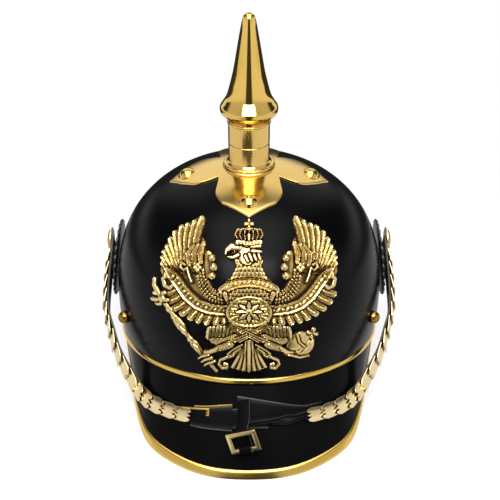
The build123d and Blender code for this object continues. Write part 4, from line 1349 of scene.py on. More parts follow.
def to_outline(u: np.ndarray, v: np.ndarray, outline: Sequence[Pair]) -> np.ndarray:
    """Signed distance to a closed outline, negative inside.

    Args:
        u: Places across the relief.
        v: Places up the relief.
        outline: Corners of the outline.

    Returns:
        The distances.
    """
    corners = np.asarray(outline, float)
    best = np.full(u.shape, 1e9)
    inside = np.zeros(u.shape, bool)
    for start, end in zip(corners, np.roll(corners, -1, axis=0)):
        run = end - start
        best = np.minimum(best, to_segment(u, v, start, end)[0])
        cross = (start[1] > v) != (end[1] > v)
        if run[1] != 0:
            inside ^= cross & (u < (v - start[1]) * run[0] / run[1] + start[0])
    return np.where(inside, -best, best)


def to_line(u: np.ndarray, v: np.ndarray, line: Sequence[Pair]) -> tuple:
    """Distance to an open line, and the share along it.

    Args:
        u: Places across the relief.
        v: Places up the relief.
        line: Corners of the line.

    Returns:
        The distances and the shares.
    """
    corners = np.asarray(line, float)
    lengths = np.linalg.norm(np.diff(corners, axis=0), axis=1)
    total = lengths.sum()
    best = np.full(u.shape, 1e9)
    along = np.zeros(u.shape)
    done = 0.0
    for start, end, length in zip(corners, corners[1:], lengths):
        away, t = to_segment(u, v, start, end)
        nearer = away < best
        best = np.where(nearer, away, best)
        along = np.where(nearer, (done + t * length) / total, along)
        done += length
    return best, along


def flipped(line: Sequence[Pair], side: int) -> list[Pair]:
    """A line on the left where side is 1, or its mirror image on the right."""
    return [(side * x, y) for x, y in line]


class Relief:
    """A height field over the eagle's drawing plane, in millimetres."""

    rim_place = 0.86
    rim_share = 0.13
    shaft_half = 0.28
    rib_slant = 0.9
    rib_end = 0.8
    round_edge = 9.0
    soft_edge = 0.35
    edge_level = 0.4
    trench_half = 0.5
    trench_depth = 0.55

    def __init__(self, low: Pair, high: Pair, pitch: float) -> None:
        """Makes an empty field.

        Args:
            low: Lowest u and v.
            high: Highest u and v.
            pitch: Distance between points.
        """
        self.columns = int(round((high[0] - low[0]) / pitch)) + 1
        self.rows = int(round((high[1] - low[1]) / pitch)) + 1
        line_u = np.linspace(low[0], high[0], self.columns)
        line_v = np.linspace(low[1], high[1], self.rows)
        self.u, self.v = np.meshgrid(line_u, line_v)
        self.h = np.zeros(self.u.shape)
        self.edge = np.full(self.u.shape, 1e3)

    def window(self, points: Sequence[Pair], margin: float) -> tuple[slice, slice]:
        """Part of the field round some points.

        Args:
            points: Points to surround.
            margin: Room left round them.

        Returns:
            Slices of the rows and columns.
        """
        given = np.asarray(points, float)
        low, high = given.min(axis=0) - margin, given.max(axis=0) + margin
        columns = np.searchsorted(self.u[0], (low[0], high[0]))
        rows = np.searchsorted(self.v[:, 0], (low[1], high[1]))
        return slice(max(rows[0] - 1, 0), rows[1] + 1), slice(max(columns[0] - 1, 0),
                                                             columns[1] + 1)

    def area(self, outline: Sequence[Pair], level: float, slope: float = 1.2,
             texture: Callable | None = None) -> None:
        """Raises an outlined area with a rounded edge.

        Args:
            outline: Closed outline.
            level: Height inside.
            slope: Width of the rounded edge.
            texture: Optional extra height from u, v and depth inside.
        """
        part = self.window(outline, 1.5)
        u, v = self.u[part], self.v[part]
        away = to_outline(u, v, outline)
        self.edge[part] = np.minimum(self.edge[part], away)
        lift = level * np.sqrt(np.clip(1 - np.clip(1 + away / slope, 0, 1) ** 2, 0, 1))
        if texture is not None:
            lift = lift + np.where(away < 0, texture(u, v, -away), 0)
        self.h[part] = np.where(away < 0, np.maximum(self.h[part], lift), self.h[part])

    def stroke(self, line: Sequence[Pair], half: float | Sequence[float], level: float,
               bulge: float = 0.0, rim: float = 0.0, over: bool = True, ribs: float = 0.0,
               rib_pitch: float = 1.2, shaft: float = 0.0) -> None:
        """Raises a band along a line: a feather, ribbon, bar or scroll.

        Args:
            line: Points of the middle line.
            half: Half width, or half widths spread along the line.
            level: Height of the band's edge.
            bulge: Extra height in the middle.
            rim: Height of a raised rim along both edges.
            over: Whether the band covers what lies under it.
            ribs: Height of slanted ribs across it.
            rib_pitch: Distance between ribs.
            shaft: Height of a thin ridge along the middle.
        """
        widths = np.atleast_1d(np.asarray(half, float))
        part = self.window(line, widths.max() + 1.2)
        u, v = self.u[part], self.v[part]
        away, along = to_line(u, v, line)
        wide = np.interp(along, np.linspace(0, 1, len(widths)), widths)
        across = away / np.maximum(wide, 1e-3)
        length = np.linalg.norm(np.diff(np.asarray(line, float), axis=0), axis=1).sum()
        lift = level + bulge * (1 - across**2)
        if rim:
            lift = lift + rim * np.exp(-(((across - self.rim_place) / self.rim_share) ** 2))
        if ribs:
            phase = (along * length + away * self.rib_slant) / rib_pitch
            lift = lift + ribs * np.sin(phase * math.tau) * (across < self.rib_end)
        if shaft:
            lift = lift + shaft * np.exp(-((away / self.shaft_half) ** 2))
        lift = lift * np.clip((1.05 - across) * self.round_edge, 0, 1) ** 0.5
        inside = across < 1
        self.edge[part] = np.minimum(self.edge[part], away - wide)
        current = self.h[part]
        if over:
            soft = np.clip((1 - across) * wide / self.soft_edge, 0, 1)
            trench = np.clip((across * wide - wide) / self.trench_half, 0, 1)
            dip = np.where(across < 1.5, self.trench_depth * (1 - trench) * (current > 0), 0)
            current = np.where(inside, current, current - dip * (away - wide < self.trench_half))
            lift = np.maximum(lift * soft + (1 - soft) * self.edge_level, 0.35)
            self.h[part] = np.where(inside, lift, np.maximum(current, 0))
        else:
            self.h[part] = np.where(inside, np.maximum(current, lift), current)

    def knob(self, place: Pair, radius: float, level: float, bulge: float) -> None:
        """Raises a round knob."""
        self.stroke((place, (place[0] + 0.02, place[1])), radius, level, bulge, over=False)


@dataclass
class Eagle:
    """The eagle plate, carved as a relief and laid on the front of the skull."""

    sizes: HelmetSizes
    level: float = 86.0
    forward: float = 12.0
    tilt: float = 22.0
    pitch: float = 0.29
    thickest: float = 5.0
    thinnest: float = 0.3
    fold_down: float = 1.3
    wing: tuple = ((-29.0, 68.3), (-34.9, 65.6), (-38.6, 63.0), (-43.3, 62.2), (-46.4, 58.2),
                   (-49.2, 53.6), (-52.7, 50.3), (-53.7, 44.6), (-55.4, 39.3), (-55.5, 34.5),
                   (-53.2, 29.2), (-53.3, 23.5), (-51.9, 17.4), (-47.6, 13.8), (-42.6, 10.8),
                   (-37.4, 8.8), (-30.6, 6.8), (-24.0, 6.1), (-10.0, 7.6), (-10.0, 27.8),
                   (-15.7, 27.6), (-19.4, 26.6), (-21.8, 28.0), (-23.1, 32.2), (-24.5, 38.0),
                   (-24.9, 43.8), (-26.0, 47.4), (-26.7, 53.8), (-29.4, 57.2), (-27.6, 62.0))
    primaries: tuple = (((-38.0, 35.4), (-48.8, 36.6), (-53.4, 38.6)),
                        ((-37.0, 36.0), (-46.9, 37.8), (-50.6, 40.6), (-53.1, 43.7)),
                        ((-36.0, 36.6), (-45.1, 39.4), (-46.9, 42.7), (-50.6, 48.6)),
                        ((-35.0, 36.6), (-42.4, 39.6), (-43.8, 44.2), (-46.2, 49.9),
                         (-48.0, 54.8)),
                        ((-34.0, 36.6), (-39.6, 40.4), (-40.6, 46.4), (-41.9, 53.3),
                         (-41.9, 60.1)),
                        ((-33.0, 37.0), (-36.8, 41.0), (-37.0, 47.6), (-36.7, 54.4),
                         (-35.9, 62.0)),
                        ((-32.0, 37.6), (-33.6, 43.0), (-32.7, 50.4), (-31.4, 58.0),
                         (-29.0, 65.6)))
    coverts: tuple = (((-36.0, 39.6), (-36.8, 45.4), (-33.4, 50.4)),
                      ((-33.0, 40.6), (-33.2, 45.4), (-30.9, 50.9)),
                      ((-29.0, 42.0), (-29.4, 46.4), (-27.6, 52.0)))
    lower: tuple = (((-41.5, 27.0), (-47.0, 23.0), (-52.6, 20.6)),
                    ((-39.0, 23.6), (-44.6, 19.2), (-49.8, 16.4)),
                    ((-36.0, 20.4), (-41.0, 15.8), (-45.8, 12.8)),
                    ((-32.6, 18.0), (-37.0, 13.2), (-40.8, 10.4)),
                    ((-29.0, 16.2), (-33.0, 11.6), (-35.6, 8.4)),
                    ((-25.6, 14.8), (-28.6, 10.6), (-30.8, 7.2)),
                    ((-21.8, 14.2), (-24.0, 10.0), (-25.6, 6.6)),
                    ((-17.6, 13.8), (-19.0, 10.0), (-19.9, 6.6)),
                    ((-13.4, 13.4), (-14.4, 10.0), (-14.6, 6.6)))
    ribbon: tuple = ((-48.6, 33.6), (-45.0, 31.4), (-41.6, 27.6), (-37.0, 22.0), (-31.0, 17.6),
                     (-24.0, 15.4), (-17.0, 14.8), (-12.0, 14.6))
    body: tuple = ((-6.4, 52.1), (-9.2, 42.7), (-8.2, 40.5), (-10.8, 35.0), (-14.9, 30.2),
                   (-14.1, 19.1), (-12.9, 7.6), (-9.0, 2.0), (-6.0, -3.0), (0.0, -6.0))

    def carve_wing(self, relief: Relief, side: int) -> None:
        """Carves one wing: long feathers, coverts, lower feathers, ribbon and knobs.

        Args:
            relief: Relief that is carved.
            side: 1 for the wing as drawn, -1 for its mirror image.
        """
        flip = partial(flipped, side=side)
        relief.area(flip(self.wing), 0.75, 0.8)
        keys = [smooth_line(feather, 11) for feather in self.primaries]
        for index, share in enumerate(np.linspace(0, len(keys) - 1.001, 10)):
            low = int(share)
            dense = keys[low] + (keys[low + 1] - keys[low]) * (share - low)
            relief.stroke(flip([tuple(p) for p in dense]), (1.4, 1.9, 2.2, 2.3, 2.0),
                          0.95 + 0.075 * index, 0.0, 0.6, ribs=0.36, rib_pitch=1.3)
        for index, feather in enumerate(self.lower):
            relief.stroke(flip(feather), (2.0, 2.45, 2.1), 0.95 + 0.06 * index, 0.1, 0.5,
                          ribs=0.26, rib_pitch=1.2, shaft=0.3)
        for index, feather in enumerate(self.coverts):
            relief.stroke(flip(feather), (1.6, 2.1, 1.6), 1.85 + 0.08 * index, 0.1, 0.5,
                          ribs=0.36, rib_pitch=1.15)
        bend = ((-27.2, 37.0), (-25.6, 31.0), (-22.0, 26.0), (-17.0, 23.6), (-12.0, 23.0))
        for shift, level in ((4.6, 1.25), (2.3, 1.6), (0.0, 1.95)):
            line = [(x - shift * 0.75, y - shift * 0.78) for x, y in bend]
            dense = smooth_line(line, 13)
            relief.stroke(flip([tuple(p) for p in dense]), 1.5, level, 0.2, 0.3)
            for start, end in zip(dense[:-1], dense[1:]):
                run = (end - start) / np.linalg.norm(end - start)
                across = np.array([-run[1], run[0]])
                middle = (start + end) / 2
                relief.stroke(flip([tuple(middle + across * 1.2),
                                    tuple(middle - across * 0.9 + run * 0.5)]), 0.72,
                              level + 0.15, 0.4)
        relief.stroke(flip(((-24.6, 46.0), (-24.0, 40.0), (-24.2, 34.6))), (2.6, 3.0, 2.2), 1.5,
                      0.5)
        for place, radius in (((-22.3, 44.4), 2.35), ((-21.3, 39.4), 2.5), ((-22.2, 34.5), 2.35)):
            relief.knob((side * place[0], place[1]), radius, 1.6, 2.2)
        for du, dv in ((0, 1.5), (0, -1.5), (1.5, 0), (-1.5, 0)):
            relief.knob((side * (-31.0 + du), 38.6 + dv), 1.35, 1.9, 1.0)
        relief.stroke(flip(((-38.6, 39.6), (-41.0, 40.6), (-41.6, 38.0), (-39.4, 36.4),
                            (-37.4, 38.0), (-36.2, 34.0), (-34.6, 30.4))), 0.85, 2.1, 0.5)
        relief.stroke(flip(((-46.0, 27.6), (-48.6, 25.0), (-52.0, 26.0), (-53.0, 29.8),
                            (-50.6, 32.6), (-46.8, 31.0), (-43.4, 26.8))), (1.2, 1.3, 1.3), 1.7,
                      0.3, 0.3)
        relief.stroke(flip(self.ribbon), (3.3, 3.4, 3.4, 3.2), 2.15, 0.0, 0.9)
        relief.stroke(flip(((-50.4, 35.6), (-47.2, 32.6))), (1.6, 2.6), 2.0, 0.0, 0.8)
        self.garland(relief, flip(self.ribbon), 15, 2.45)

    def garland(self, relief: Relief, line: Sequence[Pair], count: int, level: float) -> None:
        """Carves a plain row of beads and slanted leaves along a ribbon.

        Args:
            relief: The relief.
            line: The ribbon's middle line.
            count: Number of beads and leaves.
            level: Height they start from.
        """
        dense = smooth_line(line, count + 2)[1:-1]
        for index, spot in enumerate(dense):
            if index % 2:
                relief.stroke(((spot[0] - 0.9, spot[1] - 1.0), (spot[0] + 0.9, spot[1] + 1.0)),
                              (0.35, 0.75, 0.35), level, 0.45, over=False)
            else:
                relief.knob(tuple(spot), 0.85, level, 0.5)

    def carve_body(self, relief: Relief) -> None:
        """Carves neck, chest field, thighs, legs and tail.

        Args:
            relief: Relief that is carved.
        """
        whole = list(self.body) + [(-x, y) for x, y in reversed(self.body[:-1])]

        def plumage(u: np.ndarray, v: np.ndarray, deep: np.ndarray) -> np.ndarray:
            """Small overlapping feathers over a rounded body.

            Args:
                u: Places across the relief.
                v: Places up the relief.
                deep: Depth inside the outline.

            Returns:
                Extra height.
            """
            pitch = 2.3
            row = np.floor(v / pitch)
            local_v = v / pitch - row
            local_u = (u / pitch + 0.5 * (row % 2)) % 1.0 - 0.5
            scallop = 1 - np.clip((local_u * 2) ** 2 + (1 - local_v) ** 2 * 0.9, 0, 1.4)
            return 0.85 * scallop + 1.5 * np.clip(deep / 7.0, 0, 1) ** 0.6

        for side in (1, -1):
            flip = partial(flipped, side=side)
            for k in range(7):
                t = k / 6
                top = (-10.4 - 2.2 * k, 4.6 - 0.25 * k)
                relief.stroke(flip((top, (top[0] - 0.9, top[1] - 4.0 - 0.3 * k),
                                    (top[0] - 0.2 * k, top[1] - 7.2 + 0.3 * k))),
                              (1.5, 1.9, 1.5), 1.7 + 0.25 * t, 0.6, 0.35, shaft=0.3)
            relief.stroke(flip(((-9.0, -2.4), (-15.0, -5.4), (-21.6, -4.4))), (3.0, 3.2, 2.2),
                          1.9, 0.9, 0.3, ribs=0.35, rib_pitch=1.7)
            relief.stroke(flip(((-12.0, -6.6), (-17.6, -9.2), (-21.0, -11.6))), (3.0, 2.6, 1.9),
                          1.8, 1.1, ribs=0.3, rib_pitch=1.5)
            relief.stroke(flip(((-19.6, -10.6), (-23.4, -12.6), (-26.6, -13.0))), (1.9, 1.6, 1.3),
                          1.8, 0.9)
        for side in (1, -1):
            flip = partial(flipped, side=side)
            relief.stroke(flip(((-4.6, -8.0), (-9.6, -14.0), (-14.0, -16.2), (-17.4, -18.0),
                                (-18.4, -21.2), (-16.4, -24.0), (-13.4, -23.4), (-13.4, -21.0),
                                (-15.2, -20.4))), (1.6, 1.35, 1.2, 1.1, 1.0, 0.95), 1.35, 0.7,
                          0.15)
            relief.knob((side * -14.6, -21.2), 1.3, 1.4, 1.0)
            relief.stroke(flip(((-4.0, -7.0), (-9.8, -10.6), (-12.8, -13.6), (-11.2, -15.8),
                                (-9.4, -14.4))), 0.9, 1.2, 0.6)
            for index, end in enumerate(((-9.6, -22.6), (-6.4, -23.6), (-3.2, -24.4))):
                relief.stroke(flip(((-0.6 - 0.5 * index, -3.0), (end[0] * 0.55, -14.0), end)),
                              (1.0, 1.5, 1.45), 1.3 + 0.15 * index, 0.55, 0.3, shaft=0.35)
        relief.stroke(((0.0, -2.0), (0.0, -14.0), (0.0, -24.6)), (1.1, 1.6, 1.35), 1.8, 0.7, 0.3,
                      shaft=0.4)
        relief.area(whole, 2.1, 2.6, plumage)
        for offset in (-3.4, -1.7, 0.0, 1.7, 3.4):
            for side in (-1, 1):
                relief.stroke(((side * (-11.6 + offset * 0.4), 6.4 + offset * 0.3),
                               (side * (-2.0 + offset), 0.6 + abs(offset) * 0.1),
                               (side * (5.4 + offset), -4.2 + abs(offset) * 0.4)),
                              0.78, 3.2, 0.5)
        middle, wide, high = 14.4, 13.6, 9.4
        shield = [(wide * math.cos(a) * (1 - 0.06 * math.sin(a)), middle + high * math.sin(a))
                  for a in np.linspace(0, math.tau, 40, endpoint=False)]

        def dished(u: np.ndarray, v: np.ndarray, deep: np.ndarray) -> np.ndarray:
            """Raised rim with a fluted ground inside.

            Args:
                u: Places across the relief.
                v: Places up the relief.
                deep: Depth inside the outline.

            Returns:
                Extra height.
            """
            angle = np.arctan2((v - middle) / high, u / wide)
            flute = 0.22 * np.cos(angle * 24) * np.clip((deep - 1.6) / 2, 0, 1)
            return np.where(deep < 1.3, 0.75, 0.0) + flute

        relief.area(shield, 4.0, 0.7, dished)
        for root, tip in zip(*(arc((0.0, middle), radii, 0, math.tau, 9)[:-1]
                               for radii in ((1.6, 1.3), (7.2, 5.4)))):
            relief.stroke((root, tip), (0.7, 1.75, 1.0), 4.1, 0.6, 0.2, shaft=0.2)
        relief.knob((0.0, middle), 2.0, 4.3, 0.8)
        for side in (-1, 1):
            for k in range(4):
                relief.knob((side * (9.6 + 0.7 * (k % 2)), 10.6 + 2.5 * k), 0.75, 4.1, 0.5)
        banner = ((-15.2, 26.4), (-11.6, 28.8), (-6.0, 30.6), (0.0, 31.2), (6.0, 30.6),
                  (11.6, 28.8), (15.2, 26.4))
        relief.stroke(banner, 2.85, 3.4, 0.0, 0.8)
        self.garland(relief, banner, 11, 3.8)
        for side in (-1, 1):
            relief.stroke(((side * 14.2, 24.6), (side * 12.9, 21.0)), (1.7, 1.2), 3.0, 0.3, 0.4)

    def carve_head(self, relief: Relief) -> None:
        """Carves the head that looks to one side, its open beak, and the crown.

        Args:
            relief: Relief that is carved.
        """
        relief.stroke(((-1.0, 46.4), (-4.4, 49.0), (-7.0, 49.6)), (6.2, 4.6, 2.8), 3.2, 0.9)
        for k in range(4):
            relief.stroke(((-2.2 + 2.4 * k, 45.6 + 0.9 * k), (-0.6 + 2.4 * k, 42.6 + 0.4 * k)),
                          (1.2, 1.0), 3.5, 0.5, 0.15)
        relief.stroke(((-6.0, 50.2), (-10.4, 50.7), (-13.2, 48.8), (-13.8, 46.4)),
                      (1.9, 1.9, 1.5, 0.7), 3.4, 0.9)
        relief.stroke(((-6.4, 46.2), (-9.6, 44.8), (-12.4, 45.0)), (1.3, 1.1, 0.6), 3.0, 0.6)
        relief.stroke(((-7.0, 48.0), (-10.8, 47.0)), (0.6, 0.35), 2.8, 0.3)
        relief.stroke(((-7.6, 51.4), (-4.4, 51.9), (-1.0, 50.4)), (0.7, 0.9, 0.6), 4.2, 0.5)
        relief.knob((-4.9, 49.8), 1.15, 4.0, 0.7)
        relief.stroke(((1.6, 50.6), (6.8, 50.9)), (1.3, 1.0), 3.6, 0.6)
        relief.stroke(((2.0, 48.2), (7.2, 47.8)), (1.3, 0.9), 3.5, 0.6)
        dome_line = ((-6.9, 52.6), (-8.9, 56.4), (-7.6, 59.4), (-4.4, 60.4), (0.0, 59.4),
                     (4.4, 60.4), (7.6, 59.4), (8.9, 56.4), (6.9, 52.6))
        relief.area(dome_line, 2.2, 1.2)
        for bulge in (-1, 1):
            for wide in (0.92, 0.62, 0.30):
                relief.stroke(((bulge * 6.4 * wide, 53.4), (bulge * 9.0 * wide, 56.6),
                               (bulge * 7.6 * wide, 59.4), (bulge * 3.2 * wide, 60.2),
                               (0.0, 58.6)), 0.62, 3.7, 0.7)
        relief.stroke(((0.0, 53.6), (0.0, 56.6)), (0.9, 1.4), 3.6, 0.9)
        relief.stroke(((-6.8, 52.9), (0.0, 52.2), (6.8, 52.9)), 1.35, 3.6, 0.1, 0.6)
        for k in range(7):
            relief.knob((-5.7 + 1.9 * k, 52.5), 0.6, 4.0, 0.5)
        relief.knob((0.0, 61.1), 1.2, 2.6, 1.0)
        for du, dv in ((0, 1.9), (0, -1.6), (2.1, 0), (-2.1, 0)):
            relief.stroke(((0.0, 63.3), (du, 63.3 + dv)), (0.55, 1.15), 2.6, 0.5)

    def carve_arms(self, relief: Relief) -> None:
        """Carves the sceptre, the orb with its cross, and the claws that hold them.

        Args:
            relief: Relief that is carved.
        """
        start, end = np.array([-59.2, 25.0]), np.array([-20.2, -26.4])

        def at(share: float) -> tuple:
            """Point along the sceptre."""
            return tuple(start + (end - start) * share)

        relief.stroke((at(0.18), at(1.0)), (1.7, 1.1, 1.5, 2.6, 2.9, 1.5, 1.3, 2.6, 2.2, 1.3, 1.2,
                                            1.2, 1.1), 1.3, 0.7, 0.2)
        for centre, half in ((0.50, 0.055), (0.70, 0.05)):
            relief.stroke((at(centre - half), at(centre), at(centre + half)), (0.7, 1.7, 0.7),
                          2.2, 0.4, 0.4)
        for centre in (0.26, 0.34, 0.42, 0.60, 0.79):
            relief.knob(at(centre), 1.9, 1.7, 0.8)
        top = at(0.14)
        for du, dv in ((-5.0, 2.6), (-3.2, -3.6), (1.4, 3.8), (-6.4, -1.4), (3.4, -0.4)):
            relief.stroke((top, (top[0] + du * 0.5, top[1] + dv * 0.9),
                           (top[0] + du, top[1] + dv)), (1.3, 1.8, 1.3), 1.5, 0.8, 0.25)
            relief.knob((top[0] + du, top[1] + dv), 1.35, 1.6, 0.9)
        relief.stroke((top, (-59.0, 25.0), (-58.8, 29.2)), (1.4, 1.6, 1.0), 1.6, 0.9, 0.2)
        relief.knob((-59.0, 28.6), 1.1, 1.6, 0.9)
        relief.knob(top, 2.3, 2.2, 1.1)
        for k in range(3):
            spot = at(0.80 + 0.045 * k)
            relief.stroke(((spot[0] + 3.4, spot[1] + 1.8), (spot[0] - 0.6, spot[1] + 0.2),
                           (spot[0] - 2.6, spot[1] - 1.6)), (1.2, 1.25, 0.7), 2.2, 0.9)
        centre, radius = (31.5, -8.6), 8.9

        def domed(u: np.ndarray, v: np.ndarray, _deep: np.ndarray) -> np.ndarray:
            """Round front of the orb."""
            return 2.2 * np.clip(1 - ((u - centre[0]) ** 2 + (v - centre[1]) ** 2) / 80.0,
                                 0, 1) ** 0.5

        relief.area(arc(centre, (radius, radius), 0, math.tau, 49)[:-1], 1.2, 1.0, domed)
        relief.stroke(((24.6, -13.4), (30.4, -12.2), (38.6, -4.6)), 1.1, 3.1, 0.1, 0.35)
        relief.stroke(((28.6, -0.6), (30.0, -6.0), (33.4, -9.4)), 1.0, 3.2, 0.1, 0.35)
        for k in range(3):
            relief.stroke(((22.0, -11.0 - 1.0 * k), (26.6 + 2.0 * k, -15.6 - 0.6 * k),
                           (31.6 + 2.4 * k, -17.4 + 0.5 * k)), (1.3, 1.2, 0.6), 2.6, 0.8)
        for du, dv in ((0.8, 2.5), (-0.8, -2.5), (2.5, -0.8), (-2.5, 0.8)):
            relief.stroke(((38.6, -2.0), (38.6 + du, -2.0 + dv)), (0.5, 1.5), 1.9, 0.5)
        relief.knob((36.6, -3.6), 1.0, 1.7, 0.5)

    def build(self, wardrobe: Wardrobe) -> None:
        """Carves the relief, lays it on the skull and dresses it.

        Args:
            wardrobe: Finishes that the pieces are dressed in.
        """
        relief = Relief((-67.0, -28.5), (58.0, 70.0), self.pitch)
        for side in (1, -1):
            self.carve_wing(relief, side)
        self.carve_arms(relief)
        self.carve_body(relief)
        self.carve_head(relief)
        high = np.clip(relief.h, self.thinnest, self.thickest)
        near = self.blur(high, 2)
        wide = self.blur(high, 7)
        recess = np.clip(0.56 + 1.25 * (near - wide) + 0.7 * (high - near)
                         + 0.035 * (high - 1.8), 0, 1)
        lean = math.radians(self.tilt)
        origin = np.array([0.0, -self.sizes.front_reach - self.forward, self.level])
        upward = np.array([0.0, math.sin(lean), math.cos(lean)])
        inward = np.array([0.0, math.cos(lean), -math.sin(lean)])
        step_v, step_u = np.gradient(relief.edge, self.pitch)
        border = np.abs(relief.edge) < self.pitch * 1.1
        size = np.maximum(np.hypot(step_u, step_v), 1e-3)
        shift = np.where(border, np.clip(relief.edge, -self.pitch, self.pitch) / size**2, 0)
        keep = relief.edge < self.pitch * 0.5
        u = relief.u - np.where(keep & border, shift * step_u, 0) * 0.8
        v = relief.v - np.where(keep & border, shift * step_v, 0) * 0.8
        start = origin + u[..., None] * np.array([1.0, 0, 0]) + v[..., None] * upward
        form = SkullForm(self.sizes)
        ground = form.hit(start, np.broadcast_to(inward, start.shape))
        outward = form.normal(ground)
        piece = Bench.grid("eagle_relief", ground + outward * high[..., None], recess)
        piece.data.attributes["cut"].name = "recess"
        self.trim(piece, keep)
        wardrobe.dress(piece, "aged_brass", Body.HELMET, "eagle_plate")

    def blur(self, values: np.ndarray, reach: int) -> np.ndarray:
        """Running mean over a square of points.

        Args:
            values: Grid of numbers.
            reach: Half side of the square, in steps.

        Returns:
            The means.
        """
        for axis in (0, 1):
            padded = np.pad(values, [(reach, reach) if a == axis else (0, 0) for a in (0, 1)],
                            mode="edge")
            total = np.cumsum(padded, axis=axis)
            total = np.insert(total, 0, 0, axis=axis)
            ahead = np.take(total, range(2 * reach + 1, total.shape[axis]), axis=axis)
            behind = np.take(total, range(0, total.shape[axis] - 2 * reach - 1), axis=axis)
            values = (ahead - behind) / (2 * reach + 1)
        return values

    def trim(self, piece: bpy.types.Object, keep: np.ndarray) -> None:
        """Deletes the grid outside the outline and folds its border down to the skull.

        Args:
            piece: The relief's grid.
            keep: True where the grid stays.
        """
        Bench.pick(piece)
        bpy.ops.object.mode_set(mode="EDIT")
        bpy.ops.mesh.select_all(action="DESELECT")
        bpy.ops.object.mode_set(mode="OBJECT")
        piece.data.vertices.foreach_set("select", ~keep.ravel())
        bpy.ops.object.mode_set(mode="EDIT")
        bpy.ops.mesh.select_mode(type="VERT")
        bpy.ops.mesh.delete(type="VERT")
        bpy.ops.mesh.select_all(action="SELECT")
        bpy.ops.mesh.region_to_loop()
        bpy.ops.mesh.extrude_edges_move()
        bpy.ops.object.mode_set(mode="OBJECT")
        data = piece.data
        count = len(data.vertices)
        chosen = np.zeros(count, bool)
        data.vertices.foreach_get("select", chosen)
        flat = np.empty(count * 3)
        data.vertices.foreach_get("co", flat)
        flat = flat.reshape(-1, 3)
        normal = SkullForm(self.sizes).normal(flat[chosen] / MM)
        flat[chosen] -= normal * self.fold_down * MM
        data.vertices.foreach_set("co", flat.ravel())
        store = data.attributes["recess"]
        values = np.empty(count, np.float32)
        store.data.foreach_get("value", values)
        values[chosen] = 0.25
        store.data.foreach_set("value", values)
        data.update()
        bpy.ops.object.mode_set(mode="EDIT")
        bpy.ops.mesh.select_all(action="SELECT")
        bpy.ops.mesh.normals_make_consistent(inside=False)
        bpy.ops.object.mode_set(mode="OBJECT")
        bpy.ops.object.shade_smooth_by_angle(angle=math.radians(60))


@dataclass
class SideFittings:
    """Pleated cockades and turned bosses on both sides."""

    sizes: HelmetSizes
    pivot_y: float = 12.0
    pivot_level: float = 76.5
    radius: float = 28.0
    drop: float = 12.5
    ahead: float = 3.0
    lean: float = 6.0
    out: float = 0.85
    gauge: float = 2.0
    teeth: int = 24
    tooth_depth: float = 2.2
    pleat_depth: float = 0.30
    rim_thin: float = 0.55
    inner_ring: float = 8.0
    outer_ring: float = 18.5
    boss_radius: float = 8.2
    boss_rise: float = 3.0
    boss_low: float = 100.75

    def cockade(self) -> bpy.types.Object:
        """Models one pleated disc with a scalloped rim and a plain hub.

        Returns:
            The pattern, flat at the origin.
        """
        at = np.linspace(0, math.tau, 577)
        lobe = np.abs(np.cos(at * self.teeth / 2)) ** 0.7
        rim = self.radius - self.tooth_depth + self.tooth_depth * lobe
        layers = []
        pleat = np.cos(at * self.teeth)
        for t in np.concatenate([np.linspace(0.0, 0.97, 20), [1.0]]):
            radius = t * rim
            deep = np.clip((radius - 7.5) / 6, 0, 1)
            ring = 0.32 * np.exp(-(((radius - self.inner_ring) / 0.7) ** 2)) + 0.26 * np.exp(
                -(((radius - self.outer_ring) / 0.55) ** 2))
            high = self.gauge / 2 - self.pleat_depth + self.pleat_depth * pleat * deep + ring
            high = np.minimum(high, self.gauge / 2) * (1.0 if t < 1 else self.rim_thin)
            layers.append(np.stack([radius * np.cos(at), radius * np.sin(at), high], axis=1))
        for t in (1.0, 0.97, 0.6, 0.3, 0.0):
            radius = t * rim
            layers.append(np.stack([radius * np.cos(at), radius * np.sin(at),
                                    0 * at - self.gauge / 2
                                    * (1.0 if t < 1 else self.rim_thin)], axis=1))
        return Bench.close(Bench.grid("cockade_pattern", np.stack(layers)), False, 45)

    def boss(self) -> bpy.types.Object:
        """Models one boss: stepped rim, hollow ring and round middle.

        Returns:
            The pattern, turned at the origin.
        """
        radius, rise = self.boss_radius, self.boss_rise
        profile = [(0.0, rise), (1.6, rise - 0.06), (3.2, rise - 0.35), (4.4, rise - 0.95),
                   (4.9, rise - 1.45), (5.2, rise - 1.35), (6.2, rise - 1.15),
                   (7.2, rise - 1.35), (7.9, rise - 1.95), (radius, rise - 2.5), (radius, 0.0),
                   (0.0, 0.0)]
        return Bench.turned("boss_pattern", profile, 72)

    def build(self, wardrobe: Wardrobe) -> None:
        """Models one of each, copies it to both sides and dresses it.

        Args:
            wardrobe: Finishes that the pieces are dressed in.
        """
        disc, boss = self.cockade(), self.boss()
        lean = math.radians(self.lean)
        for name, side in (("right", 1), ("left", -1)):
            place = Vector((side * (self.sizes.half_width + self.out), self.pivot_y - self.ahead,
                            self.pivot_level - self.drop))
            heading = Vector((side * math.cos(lean), 0, math.sin(lean)))
            wardrobe.dress(Bench.copy(disc, f"{name}_pleated_disc", Bench.seat(place, heading)),
                           "cockade_black", Body.HELMET, f"{name}_cockade")
            place = Vector((side * self.boss_low, self.pivot_y, self.pivot_level))
            wardrobe.dress(Bench.copy(boss, f"{name}_boss_head",
                                      Bench.seat(place, Vector((side, 0, 0)))),
                           "boss_brass", Body.HELMET, f"{name}_boss")
        Bench.drop(disc)
        Bench.drop(boss)


